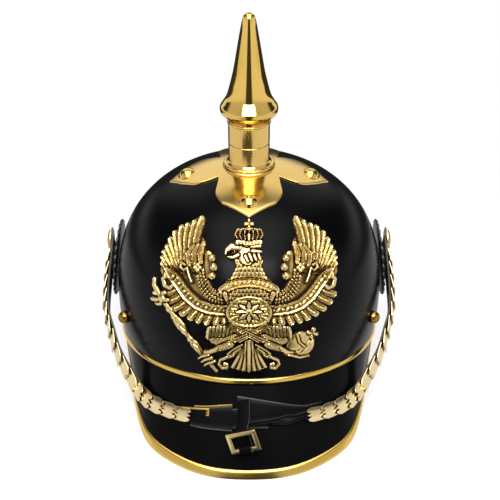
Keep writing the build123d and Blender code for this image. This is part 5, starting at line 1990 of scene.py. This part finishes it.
@dataclass
class ChinStrap:
    """Chinscales, their leather, the two front straps and the buckle."""

    sizes: HelmetSizes
    pivot_y: float = 12.0
    pivot_level: float = 76.5
    strap_out: float = 3.9
    backing_gauge: float = 1.6
    scale_gauge: float = 0.6
    scale_pitch: float = 10.4
    scale_length: float = 14.0
    scale_top_width: float = 18.0
    scale_end_width: float = 8.0
    scale_tilt: float = 8.0
    scale_gap: float = 0.3
    scale_start: float = 10.5
    scale_count: int = 15
    strap_lift: float = 0.65
    strap_gauge: float = 2.0
    tongue_gauge: float = 1.2
    tongue_gap: float = 0.35
    tongue_width: float = 12.0
    tab_gap: float = 10.5
    tongue_reach: float = 12.0
    buckle_wide: float = 19.6
    buckle_high: float = 13.8
    buckle_bar: float = 2.8
    buckle_gauge: float = 2.0
    loop_half: float = 4.0
    loop_radius: float = 2.0
    route: tuple = (((0.0, 0.0, 0.0), (1, 0, 0)), ((0.1, 8.5, 5.1), (1, 0, 0)),
                    ((0.2, 15.5, 9.5), (1, 0, 0)), ((0.5, 31.5, 18.7), (1, -0.02, 0)),
                    ((-0.5, 48.0, 28.1), (0.98, -0.15, 0)),
                    ((-4.7, 61.5, 35.7), (0.92, -0.38, 0.05)),
                    ((-10.9, 76.5, 44.6), (0.86, -0.48, 0.12)))
    visor_route: tuple = ((0.655, 0.802, 0.50), (0.785, 0.722, 0.49), (0.845, 0.643, 0.475),
                          (0.897, 0.549, 0.455), (0.943, 0.428, 0.43), (0.978, 0.293, 0.405),
                          (0.994, 0.15, 0.38), (1.0, 0.0, 0.37))
    stations: list = field(default_factory=list)
    whole: list = field(default_factory=list)

    def __post_init__(self) -> None:
        """Works out the route of the strap."""
        visor = BrimForm(self.sizes, True)
        for (out, forward, down), normal in self.route:
            self.stations.append((Vector((self.sizes.half_width + self.strap_out + out,
                                          self.pivot_y - forward, self.pivot_level - down)),
                                  Vector(normal).normalized()))
        lift = self.strap_lift + self.backing_gauge / 2
        for index, (far, wide, down) in enumerate(self.visor_route):
            extra = 1.2 if index == 0 else 0.35 if index == 1 else 0.0
            self.stations.append(visor.spot(far, wide, down, lift + extra))
        self.whole = self.stations + [(Vector((-p.x, p.y, p.z)), Vector((-n.x, n.y, n.z)))
                                      for p, n in reversed(self.stations[:-1])]
        self.half_length = self.frames(self.stations, 8.0)[1]
        self.scale_end = (self.scale_start + self.scale_pitch * (self.scale_count - 1)
                          + self.scale_length)

    def frames(self, stations: Sequence, spacing: float, start: float = 0.0,
               stop: float | None = None) -> tuple[list[Frame], float]:
        """Even frames along a smooth line through stations.

        Args:
            stations: Points with normals.
            spacing: Distance between frames.
            start: Distance of the first frame.
            stop: Distance of the last frame, or None for the end.

        Returns:
            The frames as point, along and normal, and the line's length.
        """
        dense = []
        last = len(stations) - 1
        for i in range(last):
            p0, p1 = stations[max(i - 1, 0)][0], stations[i][0]
            p2, p3 = stations[i + 1][0], stations[min(i + 2, last)][0]
            n1, n2 = stations[i][1], stations[i + 1][1]
            for step in range(24):
                t = step / 24
                spot = (p1 * 2 + (p2 - p0) * t + (p0 * 2 - p1 * 5 + p2 * 4 - p3) * t**2
                        + (p1 * 3 - p0 - p2 * 3 + p3) * t**3) * 0.5
                dense.append((spot, n1 * (1 - t) + n2 * t))
        dense.append(stations[-1])
        lengths = [0.0]
        for a, b in zip(dense, dense[1:]):
            lengths.append(lengths[-1] + (b[0] - a[0]).length)
        stop = lengths[-1] if stop is None else stop
        count = max(int(round((stop - start) / spacing)), 1)
        result = []
        for k in range(count + 1):
            target = start + (stop - start) * k / count
            i = min(int(np.searchsorted(lengths, target + 1e-9, side="right")) - 1,
                    len(dense) - 2)
            t = (target - lengths[i]) / (lengths[i + 1] - lengths[i])
            spot = dense[i][0] * (1 - t) + dense[i + 1][0] * t
            low, high = max(i - 3, 0), min(i + 4, len(dense) - 1)
            along = (dense[high][0] - dense[low][0]).normalized()
            normal = dense[i][1] * (1 - t) + dense[i + 1][1] * t
            normal = (normal - along * normal.dot(along)).normalized()
            result.append((spot, along, normal))
        return result, lengths[-1]

    def band(self, name: str, frames: Sequence[Frame], widths: Sequence[float], gauge: float,
             rises: Sequence[float], asides: Sequence[float], side: int = 1,
             bow: float = 0.0) -> bpy.types.Object:
        """Models a leather or brass band with rounded edges.

        Args:
            name: Piece name.
            frames: Frames along it.
            widths: Width at each frame.
            gauge: Thickness.
            rises: Shift outward at each frame.
            asides: Shift towards the rim at each frame.
            side: 1 for the right, -1 for the mirror image.
            bow: How far the middle bows outward.

        Returns:
            The closed band, its cut edges marked.
        """
        half = gauge / 2
        section = [(-1.0, 0.0, 1), (-0.985, 0.55, 1), (-0.94, 0.92, 0.7), (-0.85, 1.0, 0.1),
                   (-0.5, 1.0, 0), (0.0, 1.0, 0), (0.5, 1.0, 0), (0.85, 1.0, 0.1),
                   (0.94, 0.92, 0.7), (0.985, 0.55, 1), (1.0, 0.0, 1), (0.985, -0.55, 1),
                   (0.94, -0.92, 0.7), (0.85, -1.0, 0.1), (0.0, -1.0, 0), (-0.85, -1.0, 0.1),
                   (-0.94, -0.92, 0.7), (-0.985, -0.55, 1), (-1.0, 0.0, 1)]
        layers, cuts = [], []
        for across_share, up_share, cut in section:
            row = []
            for (spot, along, normal), width, rise, aside in zip(frames, widths, rises, asides):
                across = normal.cross(along)
                bowed = bow * (1 - across_share**2)
                point = (spot + across * (aside + across_share * width / 2)
                         + normal * (rise + up_share * half + bowed))
                row.append((side * point.x, point.y, point.z))
            layers.append(row)
            cuts.append([float(cut)] * len(row))
        piece = Bench.grid(name, np.asarray(layers), np.asarray(cuts))
        return Bench.close(piece, True, 60)

    def scale_width(self, distance: float) -> float:
        """Width of the scales at a distance from the pivot."""
        share = min(max(distance / self.scale_end, 0), 1)
        return self.scale_top_width + (self.scale_end_width - self.scale_top_width) * share

    def scale_pattern(self) -> bpy.types.Object:
        """Models one scale, 1 wide: a bent plate with three points on its front edge.

        Returns:
            The pattern, a sheet with its gauge.
        """
        long = self.scale_length
        across = np.linspace(-1, 1, 29)
        front = np.interp(np.abs(across), (0.0, 0.1, 0.2, 0.3, 0.4, 0.62, 0.82, 1.0),
                          (long, long - 0.8, long - 3.0, long - 2.6, long - 0.9, long - 0.3,
                           long - 1.4, long - 4.6))
        rows, cuts = [], []
        for t in (0.0, 0.06, 0.12, 0.18, 0.24, 0.30, 0.36, 0.44, 0.55, 0.68, 0.80, 0.90, 1.0):
            wide = 0.92 + 0.08 * min(t * 1.5, 1)
            bow = 0.08 - 1.08 * np.abs(across) ** 2.6
            rows.append(np.stack([t * front, across * wide, bow], axis=1))
            # The cut number marks the part under the neighbouring scale's edge and a narrow strip
            # beyond it, which the material darkens as painted shade.
            past_neighbour = t * front - (front - self.scale_pitch)
            cuts.append(np.clip(1.1 - past_neighbour / 1.1, 0, 1))
        piece = Bench.grid("scale_pattern", np.stack(rows), np.stack(cuts))
        usual_half = 7.0
        piece.data.transform(Matrix.Diagonal((1, usual_half, 1, 1)))
        Bench.modify(piece, "SOLIDIFY", thickness=self.scale_gauge * MM, offset=-1.0)
        piece.data.transform(Matrix.Diagonal((1, 1 / usual_half, 1, 1)))
        return Bench.close(piece, False, 35)

    def scales(self, name: str, side: int, pattern: bpy.types.Object) -> bpy.types.Object:
        """Copies the scale along one side, each in its own size and place.

        Args:
            name: Piece name.
            side: 1 for the right, -1 for the mirror image.
            pattern: The one scale that is copied.

        Returns:
            The scales, joined.
        """
        pieces = []
        for index in range(self.scale_count):
            start = self.scale_start + self.scale_pitch * index
            frames, _ = self.frames(self.stations, self.scale_length, start,
                                    start + self.scale_length)
            spot, _, normal = frames[0]
            chord = (frames[-1][0] - spot).normalized()
            normal = (normal - chord * normal.dot(chord)).normalized()
            lift = math.radians(self.scale_tilt)
            forward = chord * math.cos(lift) + normal * math.sin(lift)
            outward = normal * math.cos(lift) - chord * math.sin(lift)
            origin = spot + normal * (self.backing_gauge / 2 + self.scale_gap + self.scale_gauge)
            across = outward.cross(forward)
            half = self.scale_width(start) / 2
            matrix = Matrix((forward, across * half, outward)).transposed().to_4x4()
            matrix.translation = origin * MM
            if side < 0:
                matrix = Matrix.Diagonal((-1, 1, 1, 1)) @ matrix
            pieces.append(Bench.copy(pattern, f"{name}_{index}", matrix))
        return Bench.join(name, pieces)

    def buckle(self, wardrobe: Wardrobe) -> None:
        """Models the buckle frame and the leather loop round its lower bar.

        Args:
            wardrobe: Finishes that the pieces are dressed in.
        """
        visor = BrimForm(self.sizes, True)
        down, aside = 0.614, Vector((3.4, 0, 0))
        origin = visor.spot(1.0, 0.0, down, 8.0)[0] - aside
        z_axis = Vector((-0.24, -0.94, 0.25)).normalized()
        x_axis = Vector((0.92, -0.13, 0.37))
        x_axis = (x_axis - z_axis * x_axis.dot(z_axis)).normalized()
        y_axis = z_axis.cross(x_axis)
        wide, high, bar = self.buckle_wide, self.buckle_high, self.buckle_bar
        pin = -(high - bar) / 2
        corner = 0.8

        def at(x: float, y: float, z: float) -> Vector:
            """Point in the buckle's own axes."""
            return origin + x_axis * x + y_axis * y + z_axis * z

        def rounded(grow: float) -> list[Pair]:
            """Rounded rectangle, grown or shrunk.

            Args:
                grow: Distance added all round.

            Returns:
                Its corners, closed.
            """
            half_w, half_h = wide / 2 + grow, high / 2 + grow
            bend = max(corner + grow, 0.3)
            points = []
            for k, (sx, sy) in enumerate(((1, -1), (1, 1), (-1, 1), (-1, -1))):
                for a in np.linspace(0, math.pi / 2, 7):
                    angle = a - math.pi / 2 + k * math.pi / 2
                    points.append((sx * (half_w - bend) + bend * math.cos(angle),
                                   sy * (half_h - bend) + bend * math.sin(angle)))
            return points + points[:1]

        layers = []
        for inset, depth in ((0.0, -0.8), (0.0, 0.8), (-0.12, 0.95), (-0.3, 1.0),
                             (-bar + 0.3, 1.0), (-bar + 0.12, 0.95), (-bar, 0.8), (-bar, -0.8),
                             (-bar + 0.3, -1.0), (-0.3, -1.0), (0.0, -0.8)):
            layers.append([tuple(at(x, y, depth * self.buckle_gauge / 2))
                           for x, y in rounded(inset)])
        ring = Bench.close(Bench.grid("buckle_ring", np.asarray(layers)), False, 35)
        wardrobe.dress(ring, "buckle_brass", Body.BUCKLE, "buckle_frame")
        hole, tongue = 1.38, self.tongue_gauge
        depth = hole + 0.1 + tongue / 2
        top = self.strap_lift + tongue + self.tongue_gap + self.strap_gauge + 0.3 + tongue / 2
        path = [at(0, pin + self.loop_radius * math.sin(a), self.loop_radius * math.cos(a))
                for a in np.linspace(1.2, -math.pi, 15)]
        path += [at(0, y, -depth) for y in (-2.0, 2.0, 6.4)]
        for higher, lift in ((0.223, top + 2.2), (0.343, top + 0.2), (0.445, top)):
            path.append(visor.spot(1.0, 0.0, down - higher, lift)[0] - aside)
        line = smooth_line([tuple(p) for p in path], 90)
        along = np.gradient(line, axis=0)
        rows = []
        for share, up in ((-1, 0), (-0.97, 0.8), (-0.85, 1), (0, 1), (0.85, 1), (0.97, 0.8),
                          (1, 0), (0.97, -0.8), (0.85, -1), (0, -1), (-0.85, -1), (-0.97, -0.8),
                          (-1, 0)):
            row = []
            for point, run in zip(line, along):
                flat = np.asarray(x_axis)
                out = np.cross(flat, run)
                out /= np.linalg.norm(out)
                row.append(point + flat * share * self.loop_half + out * up * tongue / 2)
            rows.append(row)
        cut = np.zeros((len(rows), len(line)))
        cut[[0, 6, 12]] = 1.0
        piece = Bench.close(Bench.grid("buckle_leather", np.asarray(rows), cut), True, 60)
        wardrobe.dress(piece, "strap_leather", Body.CHINSTRAP, "buckle_tab")

    def right_strap(self, start: float, base: float, over: float) -> bpy.types.Object:
        """Models the strap on the wearer's left with its rolled lower edge.

        Args:
            start: Where the scale leather ends, along the route.
            base: Rise of the strap's middle where it lies on the visor.
            over: Rise where it lies on the other tab's tongue.

        Returns:
            The strap, its thin end tucked beside the last scales.
        """
        tail, stop = 13.0, self.half_length + 7.0
        frames, _ = self.frames(self.whole, 1.0, start - tail, stop)
        places = np.linspace(start - tail, stop, len(frames))
        share = (places - start) / (stop - start)
        widths = np.where(share >= 0, 6 + 13 * share, 6 + 4.8 * (places - start) / tail)
        asides = np.where(share >= 0, -3.8 - 0.7 * share, widths / 2 - 6.8)
        rises = base + (over - base) * np.clip(1.75 * share, 0, 1)
        pieces = [self.band("strap_face", frames, widths, self.strap_gauge, rises, asides, 1, 0.3)]
        wave = 0.9 * np.exp(-(((share - 0.32) / 0.10) ** 2))
        keep = share > -0.05
        last = int(np.argmax(keep))
        edge = asides + widths / 2 - wave
        pieces.append(self.band("strap_roll", frames[last:-2], [2.5] * (len(frames) - last - 2),
                                1.7, (rises + 0.75)[last:-2], (edge - 0.9)[last:-2], 1, 0.35))
        second = np.flatnonzero((share > -0.1) & (share < 0.52))
        thin = 1.1 + 0.9 * np.sin(np.linspace(0, math.pi, len(second)))
        pieces.append(self.band("strap_fold", [frames[k] for k in second], thin, 1.2,
                                (rises + 0.35)[second], (edge + 1.0 + 1.9 * wave)[second], 1, 0.2))
        return Bench.join("right_front_strap", pieces)

    def tab_brass(self, start: float, tab_end: float) -> bpy.types.Object:
        """Models the two brass edgings of the tab and the small toothed hook.

        Args:
            start: Where the tab starts, along the route.
            tab_end: Where it ends.

        Returns:
            The edgings and the hook, joined.
        """
        long, gauge = 25.0, 2.4
        frames, _ = self.frames(self.stations, 1.0, tab_end - long, tab_end)
        count = len(frames)
        widths = [12 + 4 * (tab_end - long + long * k / (count - 1) - start) / (tab_end - start)
                  for k in range(count)]
        upper = self.band("upper_edging", frames, [0.8] * count, gauge,
                          [(gauge - self.backing_gauge) / 2] * count,
                          [-w / 2 - 0.5 for w in widths], -1)
        frames, _ = self.frames(self.stations, 1.0, tab_end - 33.0, tab_end - 14.5)
        count = len(frames)
        lower = self.band("lower_edging", frames, [0.9] * count, 1.0,
                          np.linspace(2.6, 1.7, count), np.linspace(-4.4, -5.6, count), -1)
        spot, along, normal = frames[-1]
        across = normal.cross(along)
        path = [(spot + across * reach, across, normal) for reach in np.linspace(-6.0, -1.2, 13)]
        teeth = [0.9, 0.9, 2.2, 2.2, 0.8, 0.8, 2.2, 2.2, 0.8, 0.8, 2.2, 2.2, 0.9]
        hook = self.band("tab_hook", path, teeth, 0.9, [1.6] * 13,
                         [w / 2 for w in teeth], -1)
        return Bench.join("tab_edging", [upper, lower, hook])

    def build(self, wardrobe: Wardrobe) -> None:
        """Models and dresses the chin strap.

        Args:
            wardrobe: Finishes that the pieces are dressed in.
        """
        backing_end = self.scale_end - 1.0
        start = backing_end + 0.05
        base = (self.strap_gauge - self.backing_gauge) / 2
        over = base + self.tongue_gauge + self.tongue_gap
        pattern = self.scale_pattern()
        for name, side in (("right", 1), ("left", -1)):
            wardrobe.dress(self.scales(f"{name}_scales", side, pattern), "scale_brass",
                           Body.CHINSTRAP, f"{name}_chinscales")
            frames, _ = self.frames(self.stations, 2.0, 0.0, backing_end)
            count = len(frames)
            widths = [self.scale_width(backing_end * k / (count - 1)) - 3.0
                      for k in range(count)]
            piece = self.band(f"{name}_scale_leather", frames, widths, self.backing_gauge,
                              [0.0] * count, [0.0] * count, side)
            wardrobe.dress(piece, "strap_leather", Body.CHINSTRAP, f"{name}_scale_backing")
        Bench.drop(pattern)
        wardrobe.dress(self.right_strap(start, base, over), "strap_leather", Body.CHINSTRAP,
                       "right_strap")
        tab_end = self.half_length - self.tab_gap
        frames, _ = self.frames(self.stations, 1.0, start, tab_end)
        count = len(frames)
        share = [k / (count - 1) for k in range(count)]
        tab = self.band("left_tab", frames, [12 + 4 * t for t in share], self.strap_gauge,
                        [base] * count, [0.0] * count, -1)
        frames, _ = self.frames(self.whole, 1.0, tab_end - 4.0,
                                self.half_length + self.tongue_reach)
        count = len(frames)
        low = (self.tongue_gauge - self.backing_gauge) / 2
        tongue = self.band("left_tongue", frames, [self.tongue_width] * count, self.tongue_gauge,
                           [low] * count, [0.0] * count, -1)
        wardrobe.dress(Bench.join("left_front_tab", [tab, tongue]), "strap_leather",
                       Body.CHINSTRAP, "left_strap_tab")
        wardrobe.dress(self.tab_brass(start, tab_end), "trim_brass", Body.CHINSTRAP,
                       "left_tab_edge")
        self.buckle(wardrobe)


@dataclass
class Lining:
    """Leather sweatband and soft tongues inside the skull."""

    sizes: HelmetSizes
    band_gap: float = 4.5
    band_gauge: float = 1.6
    band_lift: float = 5.0
    band_height: float = 30.0
    tongue_count: int = 10
    tongue_gauge: float = 1.2
    crown_gap: float = 3.2
    slit: float = 3.0
    lap: float = 8.0

    def band(self) -> bpy.types.Object:
        """Models the sweatband with its turned lower lip.

        Returns:
            The closed band.
        """
        form = SkullForm(self.sizes)
        angle = np.linspace(0, math.tau, 241)
        wall = self.sizes.wall
        outer = -wall - self.band_gap
        inner = outer - self.band_gauge
        section = ((-wall - 0.15, 0.0), (-wall - 0.15, 1.6), (outer + 0.2, 2.0), (outer, 3.0),
                   (outer, self.band_height * 0.5), (outer, self.band_height - 0.5),
                   (outer - 0.5, self.band_height), (inner + 0.5, self.band_height),
                   (inner, self.band_height - 0.5), (inner, self.band_height * 0.6),
                   (inner, self.band_height * 0.3), (inner, 1.0), (inner + 0.7, 0.05))
        layers = [form.at(angle, form.seam(angle, grow, self.band_lift + up), grow)
                  for grow, up in section]
        layers.append(layers[0])
        cut = np.zeros((len(layers), 241))
        cut[6:8] = 0.8
        return Bench.close(Bench.grid("head_band", np.stack(layers), cut), False, 50)

    def tongues(self) -> bpy.types.Object:
        """Models the soft tongues that meet under the crown, a little slack.

        Returns:
            The tongues, joined.
        """
        form = SkullForm(self.sizes)
        outer = -self.sizes.wall - self.band_gap - self.band_gauge - 0.2
        top = self.sizes.base_level + self.sizes.rise + outer
        pieces = []
        step = math.tau / self.tongue_count
        share = np.linspace(-1, 1, 19)
        for index in range(self.tongue_count):
            middle = step * (index + 1)
            layers = []
            for side in (0, 1):
                grow = outer - self.tongue_gauge * side
                low = form.seam(middle + share * step / 2, grow,
                                self.band_lift + self.band_height - self.lap)
                high = top - self.crown_gap - self.tongue_gauge * side
                for t in np.linspace(side, 1 - side, 36):
                    level = low + (high - low) * (1 - (1 - t) ** 2)
                    radius = (self.sizes.half_width + grow) * form.share(level, grow)
                    squeeze = np.clip(1 - (self.slit / 2 + 0.3) / np.maximum(
                        radius * step / 2, 4.0), 0.5, 1)
                    tipped = 1 - 0.22 * max(0.0, (t - 0.8) / 0.2) ** 2
                    angle = middle + share * step / 2 * squeeze * tipped
                    slack = 0.9 * math.sin(math.pi * t) * (1 - share**2)
                    points = form.at(angle, level, grow)
                    points -= form.normal(points, grow) * slack[:, None]
                    layers.append(points)
            layers.append(layers[0])
            piece = Bench.grid(f"tongue_{index}", np.stack(layers))
            pieces.append(Bench.close(piece, True, 50))
        return Bench.join("crown_tongues", pieces)

    def build(self, wardrobe: Wardrobe) -> None:
        """Models and dresses the lining."""
        wardrobe.dress(self.band(), "lining_leather", Body.HELMET, "sweatband")
        wardrobe.dress(self.tongues(), "lining_leather", Body.HELMET, "liner_tongues")


@dataclass
class Studio:
    """Floor, lamps, world and camera."""

    camera_y: float = -0.4875
    camera_z: float = 0.3824
    down: float = 32.2
    lens: float = 57.44
    dark: float = 0.04
    fill: float = 0.42
    floor_shine: float = 0.80
    side_light: float = 0.85
    top_light: float = 3.4
    back_light: float = 0.95
    floor_dark: Pair = (0.24, 0.11)
    floor_back_shade: Pair = (0.21, 0.29)
    floor_fade: Pair = (0.16, 0.40)
    aisle: Pair = (0.36, 0.24)
    side_roof: Pair = (0.84, 0.60)
    side_low: Pair = (0.40, 0.10)
    side_rear: Pair = (2.74, 2.44)
    top_rise: Pair = (0.70, 0.87)
    top_depth: Pair = (0.50, 0.10)
    top_width: Pair = (0.62, 0.26)
    back_start: Pair = (0.35, 0.65)
    back_low: Pair = (0.08, 0.30)
    back_high: Pair = (0.92, 0.70)
    back_width: Pair = (0.68, 0.44)

    def floor(self) -> None:
        """Adds the pale floor, white to the camera; in reflections its glow is dimmed, partly by
        painted shade.
        """
        Bench.clear()
        bpy.ops.mesh.primitive_circle_add(vertices=64, radius=6.0, fill_type="NGON",
                                          location=(0, 0, 0))
        floor = bpy.context.active_object
        floor.name = "floor"
        shader = Shader("pale_floor")
        shader.set(Base_Color=(0.86, 0.86, 0.86, 1), Roughness=0.9)
        camera, glossy = self.rays(shader)
        spot = shader.place()
        aside, ahead = (shader.node("ShaderNodeSeparateXYZ", {}, [spot], output=k) for k in (0, 1))
        reach = shader.node("ShaderNodeVectorMath", {"operation": "LENGTH"}, [spot], output=1)
        # In reflections the glow dims in a wedge in front, standing for the dark camera side; the
        # wedge widens near the helmet and the floor behind it dims, both painted shade.
        close = reach.ease(0.55, 0.45) * reach.ease(0.24, 0.30)
        off = (aside.turn(ahead * -1.0) + close * 0.16).size() - close * 0.30
        level = (1.0 - off.ease(*self.floor_dark) * 0.94) * (
            1.0 - ahead.ease(*self.floor_back_shade) * 0.95)
        glow = shader.node("ShaderNodeEmission", {}, Color=(1, 1, 1, 1),
                           Strength=camera + glossy * level * self.floor_shine)
        far = reach.ease(*self.floor_fade)
        plain = Value(shader, shader.surface.outputs[0])
        shader.show(shader.node("ShaderNodeMixShader", {},
                                [camera * (far * 0.4 + 0.6) + glossy, plain, glow]))
        floor.data.materials.append(shader.material)

    def rays(self, shader: Shader) -> tuple[Value, Value]:
        """1 for camera and transmission rays, and 1 for glossy rays.

        Args:
            shader: Shader that gets the node.

        Returns:
            The two values.
        """
        camera, glossy, through = (
            shader.node("ShaderNodeLightPath", {}, output=f"Is {kind} Ray")
            for kind in ("Camera", "Glossy", "Transmission"))
        return (camera + through).clamp(), glossy

    def world(self) -> None:
        """White background; reflections see soft boxes with a dark aisle between them."""
        world = bpy.data.worlds.new("studio")
        bpy.context.scene.world = world
        world.use_nodes = True
        world.node_tree.nodes.clear()
        sky = Shader("studio", world.node_tree)
        camera, glossy = self.rays(sky)
        heading = sky.node("ShaderNodeTexCoord", {})
        x, y, z = (sky.node("ShaderNodeSeparateXYZ", {}, [heading], output=k) for k in range(3))
        turn = x.turn(y * -1.0).size()
        aisle = turn.ease(*self.aisle)
        sides = (z.ease(*self.side_roof) * (z.ease(*self.side_low) * 0.35 + 0.65)
                 * (turn + z.ease(0.08, 0.28) * 0.85).ease(*self.side_rear))
        top = (z.ease(*self.top_rise) * y.ease(*self.top_depth)
               * x.size().ease(*self.top_width))
        back = (y.ease(*self.back_start) * z.ease(*self.back_low) * z.ease(*self.back_high)
                * x.size().ease(*self.back_width))
        level = (sides * (1.0 - aisle * 0.98) * self.side_light + top * self.top_light
                 + back * self.back_light + self.dark)
        plain = sky.node("ShaderNodeBackground", {}, Color=(1, 1, 1, 1),
                         Strength=level * glossy + (1.0 - glossy) * self.fill)
        white = sky.node("ShaderNodeBackground", {}, Color=(1, 1, 1, 1), Strength=1.0)
        both = sky.node("ShaderNodeMixShader", {}, [camera, plain, white])
        sky.node("ShaderNodeOutputWorld", {}, Surface=both)

    def lamp(self, name: str, place: tuple, aim: tuple, size: tuple, watts: float,
             mirrored: bool = False) -> None:
        """Adds one soft area lamp aimed at a point; polished faces show it if mirrored.

        Args:
            name: The lamp's name.
            place: Where it stands, in metres.
            aim: Point that it faces.
            size: Its two sides.
            watts: Its power.
            mirrored: Whether polished faces show it.
        """
        light = bpy.data.lights.new(name, "AREA")
        light.shape = "RECTANGLE"
        light.size, light.size_y = size
        light.energy = watts
        lamp = bpy.data.objects.new(name, light)
        bpy.context.collection.objects.link(lamp)
        lamp.visible_glossy = mirrored
        lamp.visible_camera = False
        lamp.location = place
        lamp.rotation_euler = (Vector(aim) - Vector(place)).to_track_quat("-Z", "Y").to_euler()

    def camera(self) -> None:
        """Sets the camera at the photograph's angle."""
        data = bpy.data.cameras.new("camera")
        data.lens = self.lens
        data.sensor_width = 36.0
        data.shift_x = 0.002
        data.clip_end = 50.0
        camera = bpy.data.objects.new("camera", data)
        bpy.context.collection.objects.link(camera)
        camera.location = (0.0, self.camera_y, self.camera_z)
        camera.rotation_euler = (math.radians(90.0 - self.down), 0, 0)
        bpy.context.scene.camera = camera

    def build(self) -> None:
        """Sets the whole studio."""
        bpy.context.scene.view_settings.view_transform = "Standard"
        self.floor()
        self.world()
        self.lamp("left_softbox", (-0.95, -0.25, 0.75), (0, 0, 0.1), (0.5, 1.0), 9.0)
        self.lamp("right_softbox", (0.95, -0.25, 0.75), (0, 0, 0.1), (0.5, 1.0), 9.0)
        self.lamp("top_softbox", (0.0, -0.35, 1.25), (0, -0.02, 0.1), (0.7, 0.5), 9.0)
        self.lamp("front_card", (0.0, -0.30, 0.45), (0, -0.03, 0.18), (0.34, 0.16), 1.1, True)
        self.camera()


def main() -> None:
    """Builds every sub-assembly in order, then the studio."""
    logging.basicConfig(level=logging.INFO, format="%(message)s")
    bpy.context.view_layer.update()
    sizes = HelmetSizes()
    wardrobe = Wardrobe()
    for assembly in (LeatherBody(sizes), BrimBrass(sizes), CrownBrass(sizes), Eagle(sizes),
                     SideFittings(sizes), ChinStrap(sizes), Lining(sizes)):
        assembly.build(wardrobe)
    for finish, nodes in (("steel", ("side_ball_nuts", "base_plate_nuts", "eagle_nuts",
                                     "right_boss_nut", "left_boss_nut", "neck_ring_nut")),
                          ("plate_brass", ("spike_plug", "spike_washer")),
                          ("scale_brass", ("right_strap_eyelet", "left_strap_eyelet"))):
        for node in nodes:
            wardrobe.paint_node(node, finish)
    Studio().build()


if __name__ == "__main__":
    main()
